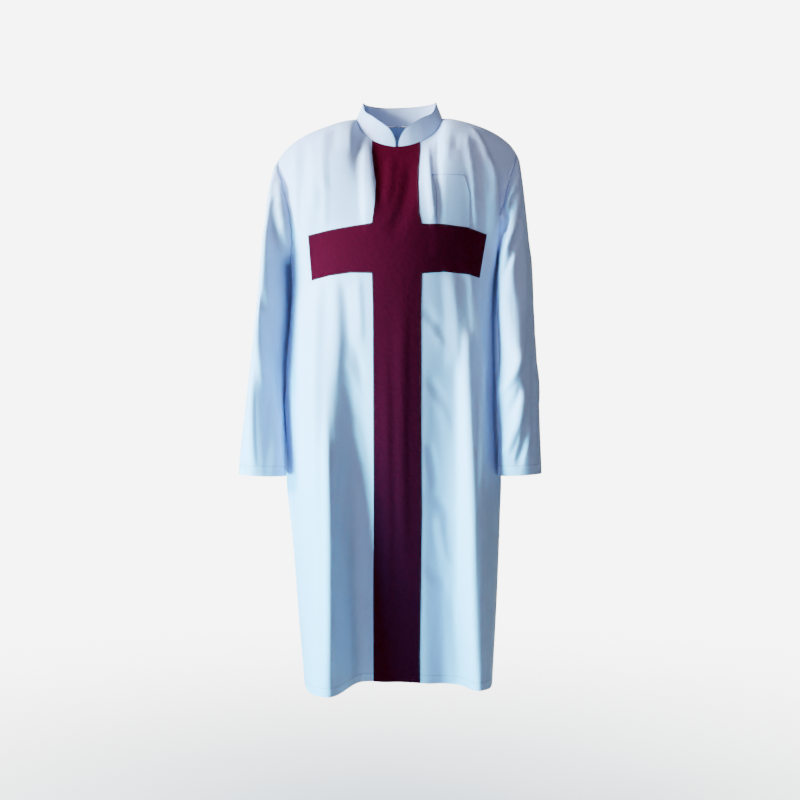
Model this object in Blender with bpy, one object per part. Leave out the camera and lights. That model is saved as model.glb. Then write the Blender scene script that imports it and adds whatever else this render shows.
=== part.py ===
"""A white long-sleeved tunic with a stand collar, a chest pocket and a crimson Latin cross.

Metres, +Z up, the wearer faces -Y and the wearer's left is +X. The origin is the middle of the
neck at the height of the shoulder seams' neck ends, where the wearer's shoulders carry the tunic.
"""

import math
from collections import namedtuple

import bmesh
import bpy
from mathutils import Vector

# Wall thicknesses and gaps.
CLOTH = 0.0016
COLLAR_CLOTH = 0.0020
CROSS_CLOTH = 0.0012
POCKET_CLOTH = 0.0010
GAP = 0.0003

# Heights that the panels are drawn between.
HEM = -1.143
HEM_LIFT = 0.010
HEM_LIFT_REACH = 0.120
CHEST_LINE = -0.360

# Neck opening and collar.
NECK_CENTRE = 0.005
NECK_HALF_WIDTH = 0.088
NECK_FRONT_HEIGHT = -0.076
NECK_BACK_HEIGHT = -0.010
COLLAR_GAP = 0.006
COLLAR_CORNER = 0.024

# Armholes: the shoulder end and the underarm of each side seam.
SHOULDER_HALF_WIDTH = 0.247
SHOULDER_END_ANGLE = 81.0
UNDERARM = -0.300
NECK_COLUMN = 25.0
SHOULDER_COLUMN = 45.0
COLUMN_STEP = 5.0
ARMHOLE_EASE = 0.65
ARMHOLE_DRAW = 5.5
CREST_CROWDING = 0.6
CREST_CROWDING_FADE = 15.0
TOP_TURN_POWER = 4
NECK_OVAL_POWER = 6

# How far down the cloth rounds over from the crest, and where the shoulders' rounding begins.
CHEST_REACH = 0.25
NAPE_REACH = 0.11
SHOULDER_REACH = 0.15
SHOULDER_START = 0.02
SHOULDER_SPREAD = 0.09
SHOULDER_ROUNDNESS = 0.85
SIDE_SEAM_FADE = 0.35

# The cross and the pocket, as seen from the front.
CROSS_HALF_WIDTH = 0.047
BAR_TOP = -0.236
BAR_BOTTOM = -0.333
BAR_RIGHT_END = -0.178
BAR_LEFT_END = 0.176
BAR_DROOP = 0.012
BAR_EDGE_STEPS = 5
POCKET_INNER = 0.070
POCKET_OUTER = 0.144
POCKET_TOP = -0.136
POCKET_BOTTOM = -0.292
POCKET_MARGIN = 0.030
POCKET_SLOPE = 0.030

# The prisms that cut the cross and the pocket from the front's form.
OUTLINE_SPARE = 0.05
CUTTER_BACK = 0.02
CUTTER_DEPTH = 0.40

ROWS_BELOW_CHEST = 14
ROWS_ABOVE_CHEST = 10
COLLAR_ROWS = 4

# Half widths and depths of the body at each height.
Section = namedtuple("Section", "height right left front back")
SECTIONS = (
    Section(-1.143, 0.190, 0.195, 0.102, 0.118),
    Section(-1.000, 0.201, 0.204, 0.112, 0.120),
    Section(-0.850, 0.213, 0.211, 0.122, 0.122),
    Section(-0.740, 0.2255, 0.215, 0.127, 0.120),
    Section(-0.650, 0.227, 0.207, 0.129, 0.114),
    Section(-0.550, 0.229, 0.204, 0.131, 0.108),
    Section(-0.450, 0.222, 0.201, 0.132, 0.107),
    Section(-0.360, 0.215, 0.198, 0.134, 0.114),
    Section(-0.300, 0.217, 0.205, 0.134, 0.120),
    Section(-0.250, 0.226, 0.217, 0.132, 0.122),
    Section(-0.200, 0.238, 0.232, 0.130, 0.122),
    Section(-0.155, 0.246, 0.243, 0.127, 0.120),
    Section(-0.080, 0.2505, 0.2505, 0.125, 0.115),
    Section(0.050, 0.2505, 0.2505, 0.125, 0.110),
)

# Height of the shoulder's crest at each distance from the middle.
Crest = namedtuple("Crest", "distance right left")
CRESTS = (
    Crest(0.000, 0.016, 0.018),
    Crest(0.088, 0.000, 0.003),
    Crest(0.145, -0.017, -0.008),
    Crest(0.190, -0.0345, -0.024),
    Crest(0.219, -0.050, -0.038),
    Crest(0.234, -0.066, -0.049),
    Crest(0.247, -0.081, -0.064),
    Crest(0.2505, -0.090, -0.074),
)

# The armhole's direction from the body's middle, by the turn from shoulder (0) to underarm (180).
Armhole = namedtuple("Armhole", "turn angle")
ARMHOLE = (
    Armhole(0, SHOULDER_END_ANGLE),
    Armhole(39, 73.5),
    Armhole(60, 67.0),
    Armhole(80, 63.0),
    Armhole(103, 62.0),
    Armhole(123, 65.0),
    Armhole(145, 73.0),
    Armhole(180, 90.0),
)

# A fold runs from its upper to its lower end. Depth is out of the body, or into it below zero.
# Across is the place along X on a panel, or the turn round a sleeve in degrees.
Fold = namedtuple("Fold", "across_high across_low high low half_width depth_high depth_low")
FOLD_FADE = 0.09
FOLD_CREST = 1.25
FRONT_FOLDS = (
    Fold(-0.150, -0.143, -0.42, HEM, 0.068, 0.008, 0.115),
    Fold(-0.085, -0.064, -0.55, HEM, 0.040, -0.004, -0.022),
    Fold(0.156, 0.170, -0.36, HEM, 0.050, 0.014, 0.080),
    Fold(0.080, 0.092, -0.55, HEM, 0.030, -0.003, -0.012),
    Fold(0.170, 0.187, -0.09, -0.30, 0.022, 0.005, 0.007),
    Fold(-0.165, -0.188, -0.10, -0.30, 0.022, 0.004, 0.005),
)
BACK_FOLDS = (
    Fold(-0.118, -0.140, -0.24, HEM, 0.062, 0.005, 0.040),
    Fold(-0.060, -0.052, -0.42, HEM, 0.050, 0.003, 0.020),
    Fold(0.030, 0.022, -0.20, HEM, 0.046, 0.005, 0.027),
    Fold(0.080, 0.086, -0.50, HEM, 0.034, -0.002, -0.012),
    Fold(0.126, 0.146, -0.28, HEM, 0.056, 0.006, 0.044),
)

# Rings of a sleeve below its armhole: the places furthest from and nearest to the body's middle,
# the middle and half depth from front to back, and how far the oval's front leans outward.
Ring = namedtuple("Ring", "outer_x outer_z inner_x inner_z middle_y half_depth lean")
RIGHT_SLEEVE_RINGS = (
    Ring(0.2560, -0.112, 0.2220, -0.304, 0.000, 0.070, 0.009),
    Ring(0.2625, -0.165, 0.2175, -0.318, 0.000, 0.076, 0.015),
    Ring(0.2670, -0.225, 0.2160, -0.336, 0.000, 0.080, 0.018),
    Ring(0.2730, -0.292, 0.2150, -0.366, -0.002, 0.080, 0.020),
    Ring(0.2790, -0.360, 0.2160, -0.405, -0.004, 0.078, 0.021),
    Ring(0.2850, -0.425, 0.2210, -0.450, -0.008, 0.074, 0.021),
    Ring(0.2920, -0.490, 0.2280, -0.502, -0.012, 0.069, 0.020),
    Ring(0.2990, -0.550, 0.2300, -0.556, -0.016, 0.064, 0.019),
    Ring(0.3060, -0.605, 0.2285, -0.608, -0.023, 0.060, 0.017),
    Ring(0.3120, -0.655, 0.2260, -0.657, -0.030, 0.056, 0.014),
    Ring(0.3165, -0.697, 0.2245, -0.700, -0.035, 0.052, 0.010),
    Ring(0.3180, -0.727, 0.2235, -0.732, -0.038, 0.050, 0.008),
)
LEFT_SLEEVE_RINGS = (
    Ring(0.2570, -0.098, 0.2065, -0.305, 0.000, 0.070, -0.010),
    Ring(0.2655, -0.155, 0.2035, -0.318, -0.002, 0.076, -0.018),
    Ring(0.2720, -0.220, 0.2010, -0.336, -0.006, 0.079, -0.020),
    Ring(0.2770, -0.290, 0.2000, -0.366, -0.012, 0.078, -0.020),
    Ring(0.2800, -0.358, 0.2000, -0.405, -0.020, 0.075, -0.019),
    Ring(0.2820, -0.425, 0.2020, -0.450, -0.030, 0.071, -0.017),
    Ring(0.2840, -0.490, 0.2050, -0.502, -0.041, 0.067, -0.014),
    Ring(0.2855, -0.550, 0.2000, -0.556, -0.051, 0.062, -0.010),
    Ring(0.2865, -0.605, 0.2020, -0.608, -0.058, 0.058, -0.008),
    Ring(0.2870, -0.655, 0.2025, -0.657, -0.063, 0.054, -0.006),
    Ring(0.2885, -0.697, 0.2010, -0.700, -0.066, 0.051, -0.004),
    Ring(0.2890, -0.725, 0.2000, -0.729, -0.067, 0.049, -0.004),
)
EVEN_RING = 5
# The right sleeve is one piece of cloth, in two solids that meet at this ring: in a shorter tube
# the collision walls lie closer to the cloth, so the hollow stays open.
PARTED_RING = 6
RIGHT_SLEEVE_FOLDS = (
    Fold(80, 146, -0.14, -0.23, 26, 0.006, 0.004),
    Fold(70, 80, -0.20, -0.38, 24, 0.003, 0.006),
    Fold(95, 140, -0.45, -0.55, 26, 0.006, 0.004),
    Fold(250, 215, -0.18, -0.34, 26, 0.006, 0.004),
    Fold(300, 240, -0.42, -0.56, 28, 0.005, 0.006),
)
LEFT_SLEEVE_FOLDS = (
    Fold(75, 150, -0.13, -0.22, 24, 0.006, 0.005),
    Fold(69, 86, -0.28, -0.49, 24, 0.005, 0.007),
    Fold(86, 155, -0.49, -0.56, 24, 0.007, 0.006),
    Fold(72, 135, -0.59, -0.67, 24, 0.005, 0.004),
    Fold(255, 210, -0.18, -0.34, 26, 0.006, 0.004),
    Fold(290, 235, -0.40, -0.55, 28, 0.005, 0.007),
)

# The collar's height above the neck seam and how far its top leans in, by the turn from the
# front (0) to the back (180).
Band = namedtuple("Band", "turn height lean")
BANDS = (
    Band(0, 0.038, 0.004),
    Band(40, 0.046, 0.010),
    Band(90, 0.029, 0.013),
    Band(135, 0.034, 0.010),
    Band(180, 0.038, 0.008),
)

WHITE_CLOTH = (0.80, 0.87, 0.95, 1.0)
WHITE_ROUGHNESS = 0.62
CRIMSON_CLOTH = (0.11, 0.010, 0.042, 1.0)
CRIMSON_ROUGHNESS = 0.70
SHARP_EDGE = 40
SAME_SPOT = 1e-6


def row_slope(rows, place, column):
    """How steeply a table's column rises at one of its rows, without passing the rows beside it."""

    def rise(first):
        low, high = rows[first], rows[first + 1]
        return (getattr(high, column) - getattr(low, column)) / (high[0] - low[0])

    if place == 0:
        return rise(0)
    if place == len(rows) - 1:
        return rise(place - 1)
    before, after = rise(place - 1), rise(place)
    return 2 * before * after / (before + after) if before * after > 0 else 0.0


def table_value(rows, at, column):
    """A table's column where its first column is `at`, on a smooth curve through the rows."""
    at = min(max(at, rows[0][0]), rows[-1][0])
    place = next(i for i in range(len(rows) - 1) if at <= rows[i + 1][0])
    low, high = rows[place], rows[place + 1]
    span = high[0] - low[0]
    t = (at - low[0]) / span
    ends = (2 * t**3 - 3 * t**2 + 1) * getattr(low, column) + (3 * t**2 - 2 * t**3) * getattr(high, column)
    bends = (t**3 - 2 * t**2 + t) * row_slope(rows, place, column)
    bends += (t**3 - t**2) * row_slope(rows, place + 1, column)
    return ends + span * bends


def ease(value):
    """0 to 1 without a kink at either end."""
    value = min(max(value, 0.0), 1.0)
    return value * value * (3 - 2 * value)


def mix(low, high, share):
    return low + (high - low) * share


def fold_depth(folds, across, height, period=None):
    """How far all the folds together push the cloth out at one place."""
    depth = 0.0
    for fold in folds:
        share = (fold.high - height) / (fold.high - fold.low)
        middle = mix(fold.across_high, fold.across_low, min(max(share, 0.0), 1.0))
        offset = across - middle
        if period:
            offset = (offset + period / 2) % period - period / 2
        if abs(offset) >= fold.half_width:
            continue
        past_end = max(height - fold.high, fold.low - height, 0.0)
        strength = mix(fold.depth_high, fold.depth_low, min(max(share, 0.0), 1.0))
        strength *= 1 - ease(past_end / FOLD_FADE)
        depth += strength * ease(FOLD_CREST * (1 - abs(offset) / fold.half_width))
    return depth


def side_name(x):
    return "right" if x < 0 else "left"


def crest_height(x):
    return table_value(CRESTS, abs(x), side_name(x))


def half_width(height, sign):
    return table_value(SECTIONS, height, side_name(sign))


def body_point(angle, height, front):
    """A point of the body's cloth: the angle is from the middle of the front or back, + to +X."""
    sign = -1 if angle < 0 else 1
    turn = math.radians(angle)
    x = half_width(height, sign) * math.sin(turn)
    depth = table_value(SECTIONS, height, "front" if front else "back") * math.cos(turn)
    outward = ease((abs(x) - SHOULDER_START) / SHOULDER_SPREAD)
    reach = mix(CHEST_REACH if front else NAPE_REACH, SHOULDER_REACH, outward)
    below = min(max((crest_height(x) - height) / reach, 0.0), 1.0)
    round_over = math.sqrt(1 - (1 - below) ** 2)
    depth *= mix(math.sin(math.pi / 2 * below), round_over, SHOULDER_ROUNDNESS * outward)
    side_fade = ease(math.cos(turn) / SIDE_SEAM_FADE)
    depth += fold_depth(FRONT_FOLDS if front else BACK_FOLDS, x, height) * side_fade
    return Vector((x, -depth if front else depth, height))


def angle_at(x, height):
    share = abs(x) / half_width(height, -1 if x < 0 else 1)
    return math.copysign(math.degrees(math.asin(min(share, 1.0))), x)


def armhole_place(turn, sign):
    """(angle, height) on the panels of the armhole's edge, by the turn from the shoulder."""
    shoulder = crest_height(sign * SHOULDER_HALF_WIDTH)
    middle, half = (shoulder + UNDERARM) / 2, (shoulder - UNDERARM) / 2
    height = middle + half * math.cos(math.radians(turn))
    return table_value(ARMHOLE, turn, "angle"), height


def armhole_turn(column):
    share = (column - SHOULDER_COLUMN) / (90.0 - SHOULDER_COLUMN)
    return 180.0 * share**ARMHOLE_EASE


def column_top(column, sign, front):
    """(angle, height) of a column's upper end on the neck, the shoulder seam or the armhole."""
    if column <= NECK_COLUMN:
        turn = math.radians(90 * column / NECK_COLUMN)
        x = NECK_CENTRE * math.sin(turn) ** 2 * sign + NECK_HALF_WIDTH * math.sin(turn)
        lowest = NECK_FRONT_HEIGHT if front else NECK_BACK_HEIGHT
        height = mix(crest_height(sign * x), lowest, math.cos(turn))
    elif column <= SHOULDER_COLUMN:
        share = (column - NECK_COLUMN) / (SHOULDER_COLUMN - NECK_COLUMN)
        x = mix(NECK_HALF_WIDTH + NECK_CENTRE * sign, SHOULDER_HALF_WIDTH, share)
        height = crest_height(sign * x)
    else:
        return armhole_place(armhole_turn(column), sign)
    return abs(angle_at(sign * x, height)), height


def hem_height(x):
    near_middle = max(0.0, 1 - abs(x) / HEM_LIFT_REACH)
    return HEM + HEM_LIFT * ease(near_middle)


def chest_angle(column):
    """A column's direction at the chest line: those below the armhole are drawn forward."""
    past_shoulder = max(0.0, column - SHOULDER_COLUMN) / (90.0 - SHOULDER_COLUMN)
    return column - ARMHOLE_DRAW * math.sin(math.pi * past_shoulder)


def climb_share(column, share):
    """A row's share of the climb from the chest line to a column's top, crowded at the crest."""
    off_crest = max(NECK_COLUMN - column, column - SHOULDER_COLUMN, 0.0)
    crowding = CREST_CROWDING * (1 - ease(off_crest / CREST_CROWDING_FADE))
    return 1 - (1 - share) ** (1 + crowding)


def neck_shift(column, sign, front):
    """How far a column's upper end moves from the body's form on to the neck's oval."""
    if column > NECK_COLUMN:
        return 0.0
    middle = body_point(0, column_top(0, sign, front)[1], front)
    angle, height = column_top(column, sign, front)
    oval = middle.y * math.cos(math.radians(90 * column / NECK_COLUMN))
    return oval - body_point(sign * angle, height, front).y


def panel_grid(front):
    """Rows of points of the front or back panel, from the hem up, each from -X to +X."""
    steps = round(90.0 / COLUMN_STEP)
    columns = [(abs(k) * COLUMN_STEP, -1 if k < 0 else 1) for k in range(-steps, steps + 1)]
    grid = []
    for row in range(ROWS_BELOW_CHEST + 1):
        points = []
        for column, sign in columns:
            hem_x = half_width(HEM, sign) * math.sin(math.radians(column)) * sign
            lowest = hem_height(hem_x) if front else HEM
            share = row / ROWS_BELOW_CHEST
            angle = mix(column, chest_angle(column), ease(share))
            points.append(body_point(sign * angle, mix(lowest, CHEST_LINE, share), front))
        grid.append(points)
    for row in range(1, ROWS_ABOVE_CHEST + 1):
        points = []
        for column, sign in columns:
            climb = climb_share(column, row / ROWS_ABOVE_CHEST)
            top_angle, top_height = column_top(column, sign, front)
            height = mix(CHEST_LINE, top_height, climb)
            angle = mix(chest_angle(column), top_angle, climb**TOP_TURN_POWER)
            point = body_point(sign * angle, height, front)
            point.y += neck_shift(column, sign, front) * climb**NECK_OVAL_POWER
            if row == ROWS_ABOVE_CHEST and NECK_COLUMN <= column <= SHOULDER_COLUMN:
                point.y = 0.0
            points.append(point)
        grid.append(points)
    return grid


def armhole_edge(front_grid, back_grid, sign):
    """The armhole's points from the shoulder round the front to the underarm and up the back."""
    steps = round(90.0 / COLUMN_STEP)
    first = round(SHOULDER_COLUMN / COLUMN_STEP)
    places = [steps + sign * k for k in range(first, steps + 1)]
    down = [front_grid[-1][place] for place in places]
    up = [back_grid[-1][place] for place in reversed(places)]
    return down + up[1:-1]


def ring_turn(k, count, evenness):
    """A sleeve point's turn from outside round the front, spaced as on the armhole or evenly."""
    half = count // 2
    from_outside = min(k, count - k)
    low, high = (
        armhole_turn(SHOULDER_COLUMN + (90.0 - SHOULDER_COLUMN) * (2 * step) / half)
        for step in (from_outside // 2, (from_outside + 1) // 2)
    )
    turn = mix((low + high) / 2, 180.0 * from_outside / half, evenness)
    return math.radians(turn if k <= half else 360.0 - turn)


def sleeve_grid(edge, rings, folds, sign):
    """Rows of points of a sleeve, from its armhole to its cuff, each a closed ring."""
    count = 2 * len(edge)
    grid = [[edge[k // 2] for k in range(count)]]
    for place, ring in enumerate(rings):
        half = math.sqrt(((ring.outer_x - ring.inner_x) / 2) ** 2 - ring.lean**2)
        points = []
        for k in range(count):
            turn = ring_turn(k, count, ease((place + 1) / EVEN_RING))
            across, along = math.cos(turn), math.sin(turn)
            height = mix(ring.inner_z, ring.outer_z, (1 + across) / 2)
            out = fold_depth(folds, math.degrees(turn), height, 360)
            x = (ring.outer_x + ring.inner_x) / 2 + (half + out) * across + ring.lean * along
            y = ring.middle_y - (ring.half_depth + out) * along
            points.append(Vector((sign * x, y, height)))
        grid.append(points)
    return grid


def neck_edge(front_grid, back_grid):
    """The neck seam's points, from the middle of the front round +X to the back and home."""
    steps = round(90.0 / COLUMN_STEP)
    last = round(NECK_COLUMN / COLUMN_STEP)
    front_top, back_top = front_grid[-1], back_grid[-1]
    edge = [front_top[steps + k] for k in range(last + 1)]
    edge += [back_top[steps + k] for k in range(last - 1, -last, -1)]
    edge += [front_top[steps - k] for k in range(last, 0, -1)]
    return edge


def collar_grid(edge):
    """Rows of points of the collar's outer face, from the neck seam up, open at the front."""
    base = []
    for k, here in enumerate(edge):
        there = edge[(k + 1) % len(edge)]
        base += [here, (here + there) / 2]
    base = base[1:]
    start = (edge[1] - edge[0]).normalized() * COLLAR_GAP / 2
    end = (edge[-1] - edge[0]).normalized() * COLLAR_GAP / 2
    base = [edge[0] + start] + base + [edge[0] + end]
    lengths = [0.0]
    for low, high in zip(base, base[1:]):
        lengths.append(lengths[-1] + (high - low).length)
    middle = Vector((NECK_CENTRE, 0.0, 0.0))
    grid = []
    for row in range(COLLAR_ROWS + 1):
        points = []
        for point, length in zip(base, lengths):
            from_front = min(length, lengths[-1] - length)
            turn = 180.0 * from_front / (lengths[-1] / 2)
            inward = (middle - point).to_2d().normalized()
            rise = table_value(BANDS, turn, "height")
            lean = table_value(BANDS, turn, "lean")
            to_corner = max(0.0, COLLAR_CORNER - from_front)
            rise -= COLLAR_CORNER - math.sqrt(COLLAR_CORNER**2 - to_corner**2)
            share = row / COLLAR_ROWS
            step = Vector((inward.x * lean * share, inward.y * lean * share, GAP + rise * share))
            points.append(point + step)
        grid.append(points)
    return grid


def sheet_of(grid, ringed=False, flip=False):
    """An open sheet over a grid of points, shaped from Blender's own flat grid."""
    rows, columns = len(grid) - 1, len(grid[0]) - (0 if ringed else 1)
    sheet = bmesh.new()
    bmesh.ops.create_grid(sheet, x_segments=columns, y_segments=rows, size=1.0)
    for vertex in sheet.verts:
        column = round((vertex.co.x + 1) / 2 * columns)
        row = round((vertex.co.y + 1) / 2 * rows)
        vertex.co = grid[row][column % len(grid[0])]
    if ringed:
        bmesh.ops.remove_doubles(sheet, verts=sheet.verts, dist=SAME_SPOT)
    if flip:
        bmesh.ops.reverse_faces(sheet, faces=sheet.faces)
    bmesh.ops.triangulate(sheet, faces=sheet.faces, quad_method="SHORT_EDGE")
    return sheet


def spot(point):
    """A point as a key that pieces which meet there share."""
    return tuple(round(value, 5) for value in point)


def shared_normals(sheets):
    """The cloth's outward direction at each spot, the same for all the pieces that meet there."""
    normals = {}
    for sheet in sheets:
        sheet.normal_update()
        for face in sheet.faces:
            for vertex in face.verts:
                key = spot(vertex.co)
                normals[key] = normals.get(key, Vector()) + face.normal * face.calc_area()
    return {key: total.normalized() for key, total in normals.items()}


def edge_step(vertex):
    """The step that draws both edges of a sheet at one of its border vertices back by half a gap."""
    inward = []
    for edge in [edge for edge in vertex.link_edges if edge.is_boundary]:
        along = (edge.verts[1].co - edge.verts[0].co).normalized()
        across = edge.link_faces[0].calc_center_median() - edge.verts[0].co
        inward.append((across - along * across.dot(along)).normalized())
    first, second = inward
    return (first + second) * (GAP / 2) / max(1 + first.dot(second), 0.5)


def seam_moves(sheets):
    """For each sheet, the steps that open its seams, by the spots that it shares with another."""
    holders = {}
    for sheet in sheets:
        for vertex in sheet.verts:
            holders.setdefault(spot(vertex.co), set()).add(id(sheet))
    moves = {}
    for sheet in sheets:
        seam = [vertex for vertex in sheet.verts if len(holders[spot(vertex.co)]) > 1]
        moves[id(sheet)] = {spot(vertex.co): edge_step(vertex) for vertex in seam}
    return moves


def split_rim(sheet, faces_side):
    """Splits a wall's edge strip the same way on every piece, so that two walls meet flat."""
    for face in [face for face in sheet.faces if len(face.verts) == 4]:
        corners = list(face.verts)
        first = min((v for v in corners if v in faces_side), key=lambda v: spot(v.co))
        opposite = corners[(corners.index(first) + 2) % 4]
        bmesh.ops.connect_verts(sheet, verts=[first, opposite])


def give_wall(sheet, normals, face_height, back_height, moves=None):
    """Makes an open sheet a closed wall between two heights above the spots that it covers."""
    faces_side = list(sheet.verts)
    made = bmesh.ops.extrude_face_region(sheet, geom=sheet.faces[:], use_keep_orig=True)
    back_side = [item for item in made["geom"] if isinstance(item, bmesh.types.BMVert)]
    split_rim(sheet, set(faces_side))
    for vertices, height in ((faces_side, face_height), (back_side, back_height)):
        for vertex in vertices:
            start = vertex.co.copy()
            step = moves.get(spot(start), Vector()) if moves else Vector()
            vertex.co = start + step + normals[spot(start)] * height(start)
    bmesh.ops.recalc_face_normals(sheet, faces=sheet.faces)


def inner_wall(sheet, normals, thickness, moves=None):
    """The wall of a garment piece: its outer face on the sheet, its thickness inward."""
    give_wall(sheet, normals, lambda start: 0.0, lambda start: -thickness, moves)


def cloth_material(name, colour, roughness):
    material = bpy.data.materials.new(name)
    material.use_nodes = True
    shader = material.node_tree.nodes["Principled BSDF"]
    shader.inputs["Base Color"].default_value = colour
    shader.inputs["Roughness"].default_value = roughness
    shader.inputs["Metallic"].default_value = 0.0
    return material


def add_object(name, shape, collection, material=None):
    mesh = bpy.data.meshes.new(name)
    shape.to_mesh(mesh)
    shape.free()
    if material:
        mesh.materials.append(material)
        mesh.shade_smooth()
        mesh.set_sharp_from_angle(angle=math.radians(SHARP_EDGE))
    made = bpy.data.objects.new(name, mesh)
    collection.objects.link(made)
    return made


def keep_inside(target, cutter):
    """Keeps only what of an object lies inside the cutter."""
    cutter.hide_render = True
    cutter.display_type = "WIRE"
    trim = target.modifiers.new("outline", "BOOLEAN")
    trim.operation = "INTERSECT"
    trim.object = cutter


def cross_outline():
    """The cross's corners and the drooping edges of its bar, seen from the front, as (x, z)."""

    def bar_edge(end, height):
        side = math.copysign(CROSS_HALF_WIDTH, end)
        for step in range(BAR_EDGE_STEPS + 1):
            share = step / BAR_EDGE_STEPS
            yield mix(side, end, share), height - BAR_DROOP * share**2

    top, bottom = OUTLINE_SPARE, HEM - OUTLINE_SPARE
    points = [(-CROSS_HALF_WIDTH, top), (CROSS_HALF_WIDTH, top)]
    points += bar_edge(BAR_LEFT_END, BAR_TOP)
    points += reversed(list(bar_edge(BAR_LEFT_END, BAR_BOTTOM)))
    points += [(CROSS_HALF_WIDTH, bottom), (-CROSS_HALF_WIDTH, bottom)]
    points += bar_edge(BAR_RIGHT_END, BAR_BOTTOM)
    points += reversed(list(bar_edge(BAR_RIGHT_END, BAR_TOP)))
    return points


def pocket_outline():
    return [
        (POCKET_INNER, POCKET_TOP),
        (POCKET_OUTER, POCKET_TOP),
        (POCKET_OUTER, POCKET_BOTTOM),
        (POCKET_INNER, POCKET_BOTTOM),
    ]


def outline_cutter(name, outline, collection):
    """A closed prism of an outline drawn on the XZ plane, reaching forward past the chest."""
    shape = bmesh.new()
    face = shape.faces.new([shape.verts.new((x, CUTTER_BACK, z)) for x, z in outline])
    made = bmesh.ops.extrude_face_region(shape, geom=[face], use_keep_orig=True)
    front = [item for item in made["geom"] if isinstance(item, bmesh.types.BMVert)]
    bmesh.ops.translate(shape, verts=front, vec=(0, -CUTTER_DEPTH, 0))
    bmesh.ops.recalc_face_normals(shape, faces=shape.faces)
    return add_object(name, shape, collection)


def over_pocket(start):
    """1 where the cloth lies over the pocket and 0 away from it."""
    across = max(POCKET_INNER - start.x, start.x - POCKET_OUTER, 0.0)
    along = max(POCKET_BOTTOM - start.z, start.z - POCKET_TOP, 0.0)
    return 1 - ease((math.hypot(across, along) - POCKET_MARGIN) / POCKET_SLOPE)


def cross_height(start):
    return GAP + over_pocket(start) * (POCKET_CLOTH + GAP)


def make_body(pieces, white):
    """The front, the back and both sleeves, whose walls meet at mitred seams."""
    front_grid, back_grid = panel_grid(front=True), panel_grid(front=False)
    right_edge = armhole_edge(front_grid, back_grid, -1)
    left_edge = armhole_edge(front_grid, back_grid, 1)
    right_grid = sleeve_grid(right_edge, RIGHT_SLEEVE_RINGS, RIGHT_SLEEVE_FOLDS, -1)
    left_grid = sleeve_grid(left_edge, LEFT_SLEEVE_RINGS, LEFT_SLEEVE_FOLDS, 1)
    sheets = {
        "front_panel": sheet_of(front_grid),
        "back_panel": sheet_of(back_grid, flip=True),
        "sleeve_right": sheet_of(right_grid[: PARTED_RING + 1], ringed=True, flip=True),
        "sleeve_right_lower": sheet_of(right_grid[PARTED_RING:], ringed=True, flip=True),
        "sleeve_left": sheet_of(left_grid, ringed=True),
    }
    normals = shared_normals(sheets.values())
    moves = seam_moves(list(sheets.values()))
    for name, sheet in sheets.items():
        inner_wall(sheet, normals, CLOTH, moves[id(sheet)])
        add_object(name, sheet, pieces, white)
    return front_grid, back_grid, normals


def make_collar(front_grid, back_grid, pieces, white):
    sheet = sheet_of(collar_grid(neck_edge(front_grid, back_grid)))
    inner_wall(sheet, shared_normals([sheet]), COLLAR_CLOTH)
    add_object("collar", sheet, pieces, white)


def make_pocket(front_grid, normals, pieces, cutters, white):
    sheet = sheet_of(front_grid)
    give_wall(sheet, normals, lambda start: GAP + POCKET_CLOTH, lambda start: GAP)
    pocket = add_object("chest_pocket", sheet, pieces, white)
    keep_inside(pocket, outline_cutter("pocket_outline", pocket_outline(), cutters))


def make_cross(front_grid, normals, pieces, cutters, crimson):
    sheet = sheet_of(front_grid)
    give_wall(sheet, normals, lambda start: cross_height(start) + CROSS_CLOTH, cross_height)
    cross = add_object("cross", sheet, pieces, crimson)
    keep_inside(cross, outline_cutter("cross_outline", cross_outline(), cutters))


def main():
    for old in list(bpy.data.objects):
        bpy.data.objects.remove(old)
    pieces = bpy.data.collections.new("tunic")
    cutters = bpy.data.collections.new("cutters")
    for collection in (pieces, cutters):
        bpy.context.scene.collection.children.link(collection)
    white = cloth_material("white_cloth", WHITE_CLOTH, WHITE_ROUGHNESS)
    crimson = cloth_material("crimson_cloth", CRIMSON_CLOTH, CRIMSON_ROUGHNESS)
    front_grid, back_grid, normals = make_body(pieces, white)
    make_collar(front_grid, back_grid, pieces, white)
    make_pocket(front_grid, normals, pieces, cutters, white)
    make_cross(front_grid, normals, pieces, cutters, crimson)


main()
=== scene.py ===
"""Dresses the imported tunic: thin creased cloth, the crimson cross, the pocket, seams and stitching.

Metres, +Z up, the wearer faces -Y and the wearer's left is +X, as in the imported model.
"""

import math
from collections import namedtuple

import bmesh
import bpy
import numpy as np
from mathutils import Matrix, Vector
from mathutils.bvhtree import BVHTree
from mathutils.kdtree import KDTree


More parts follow.
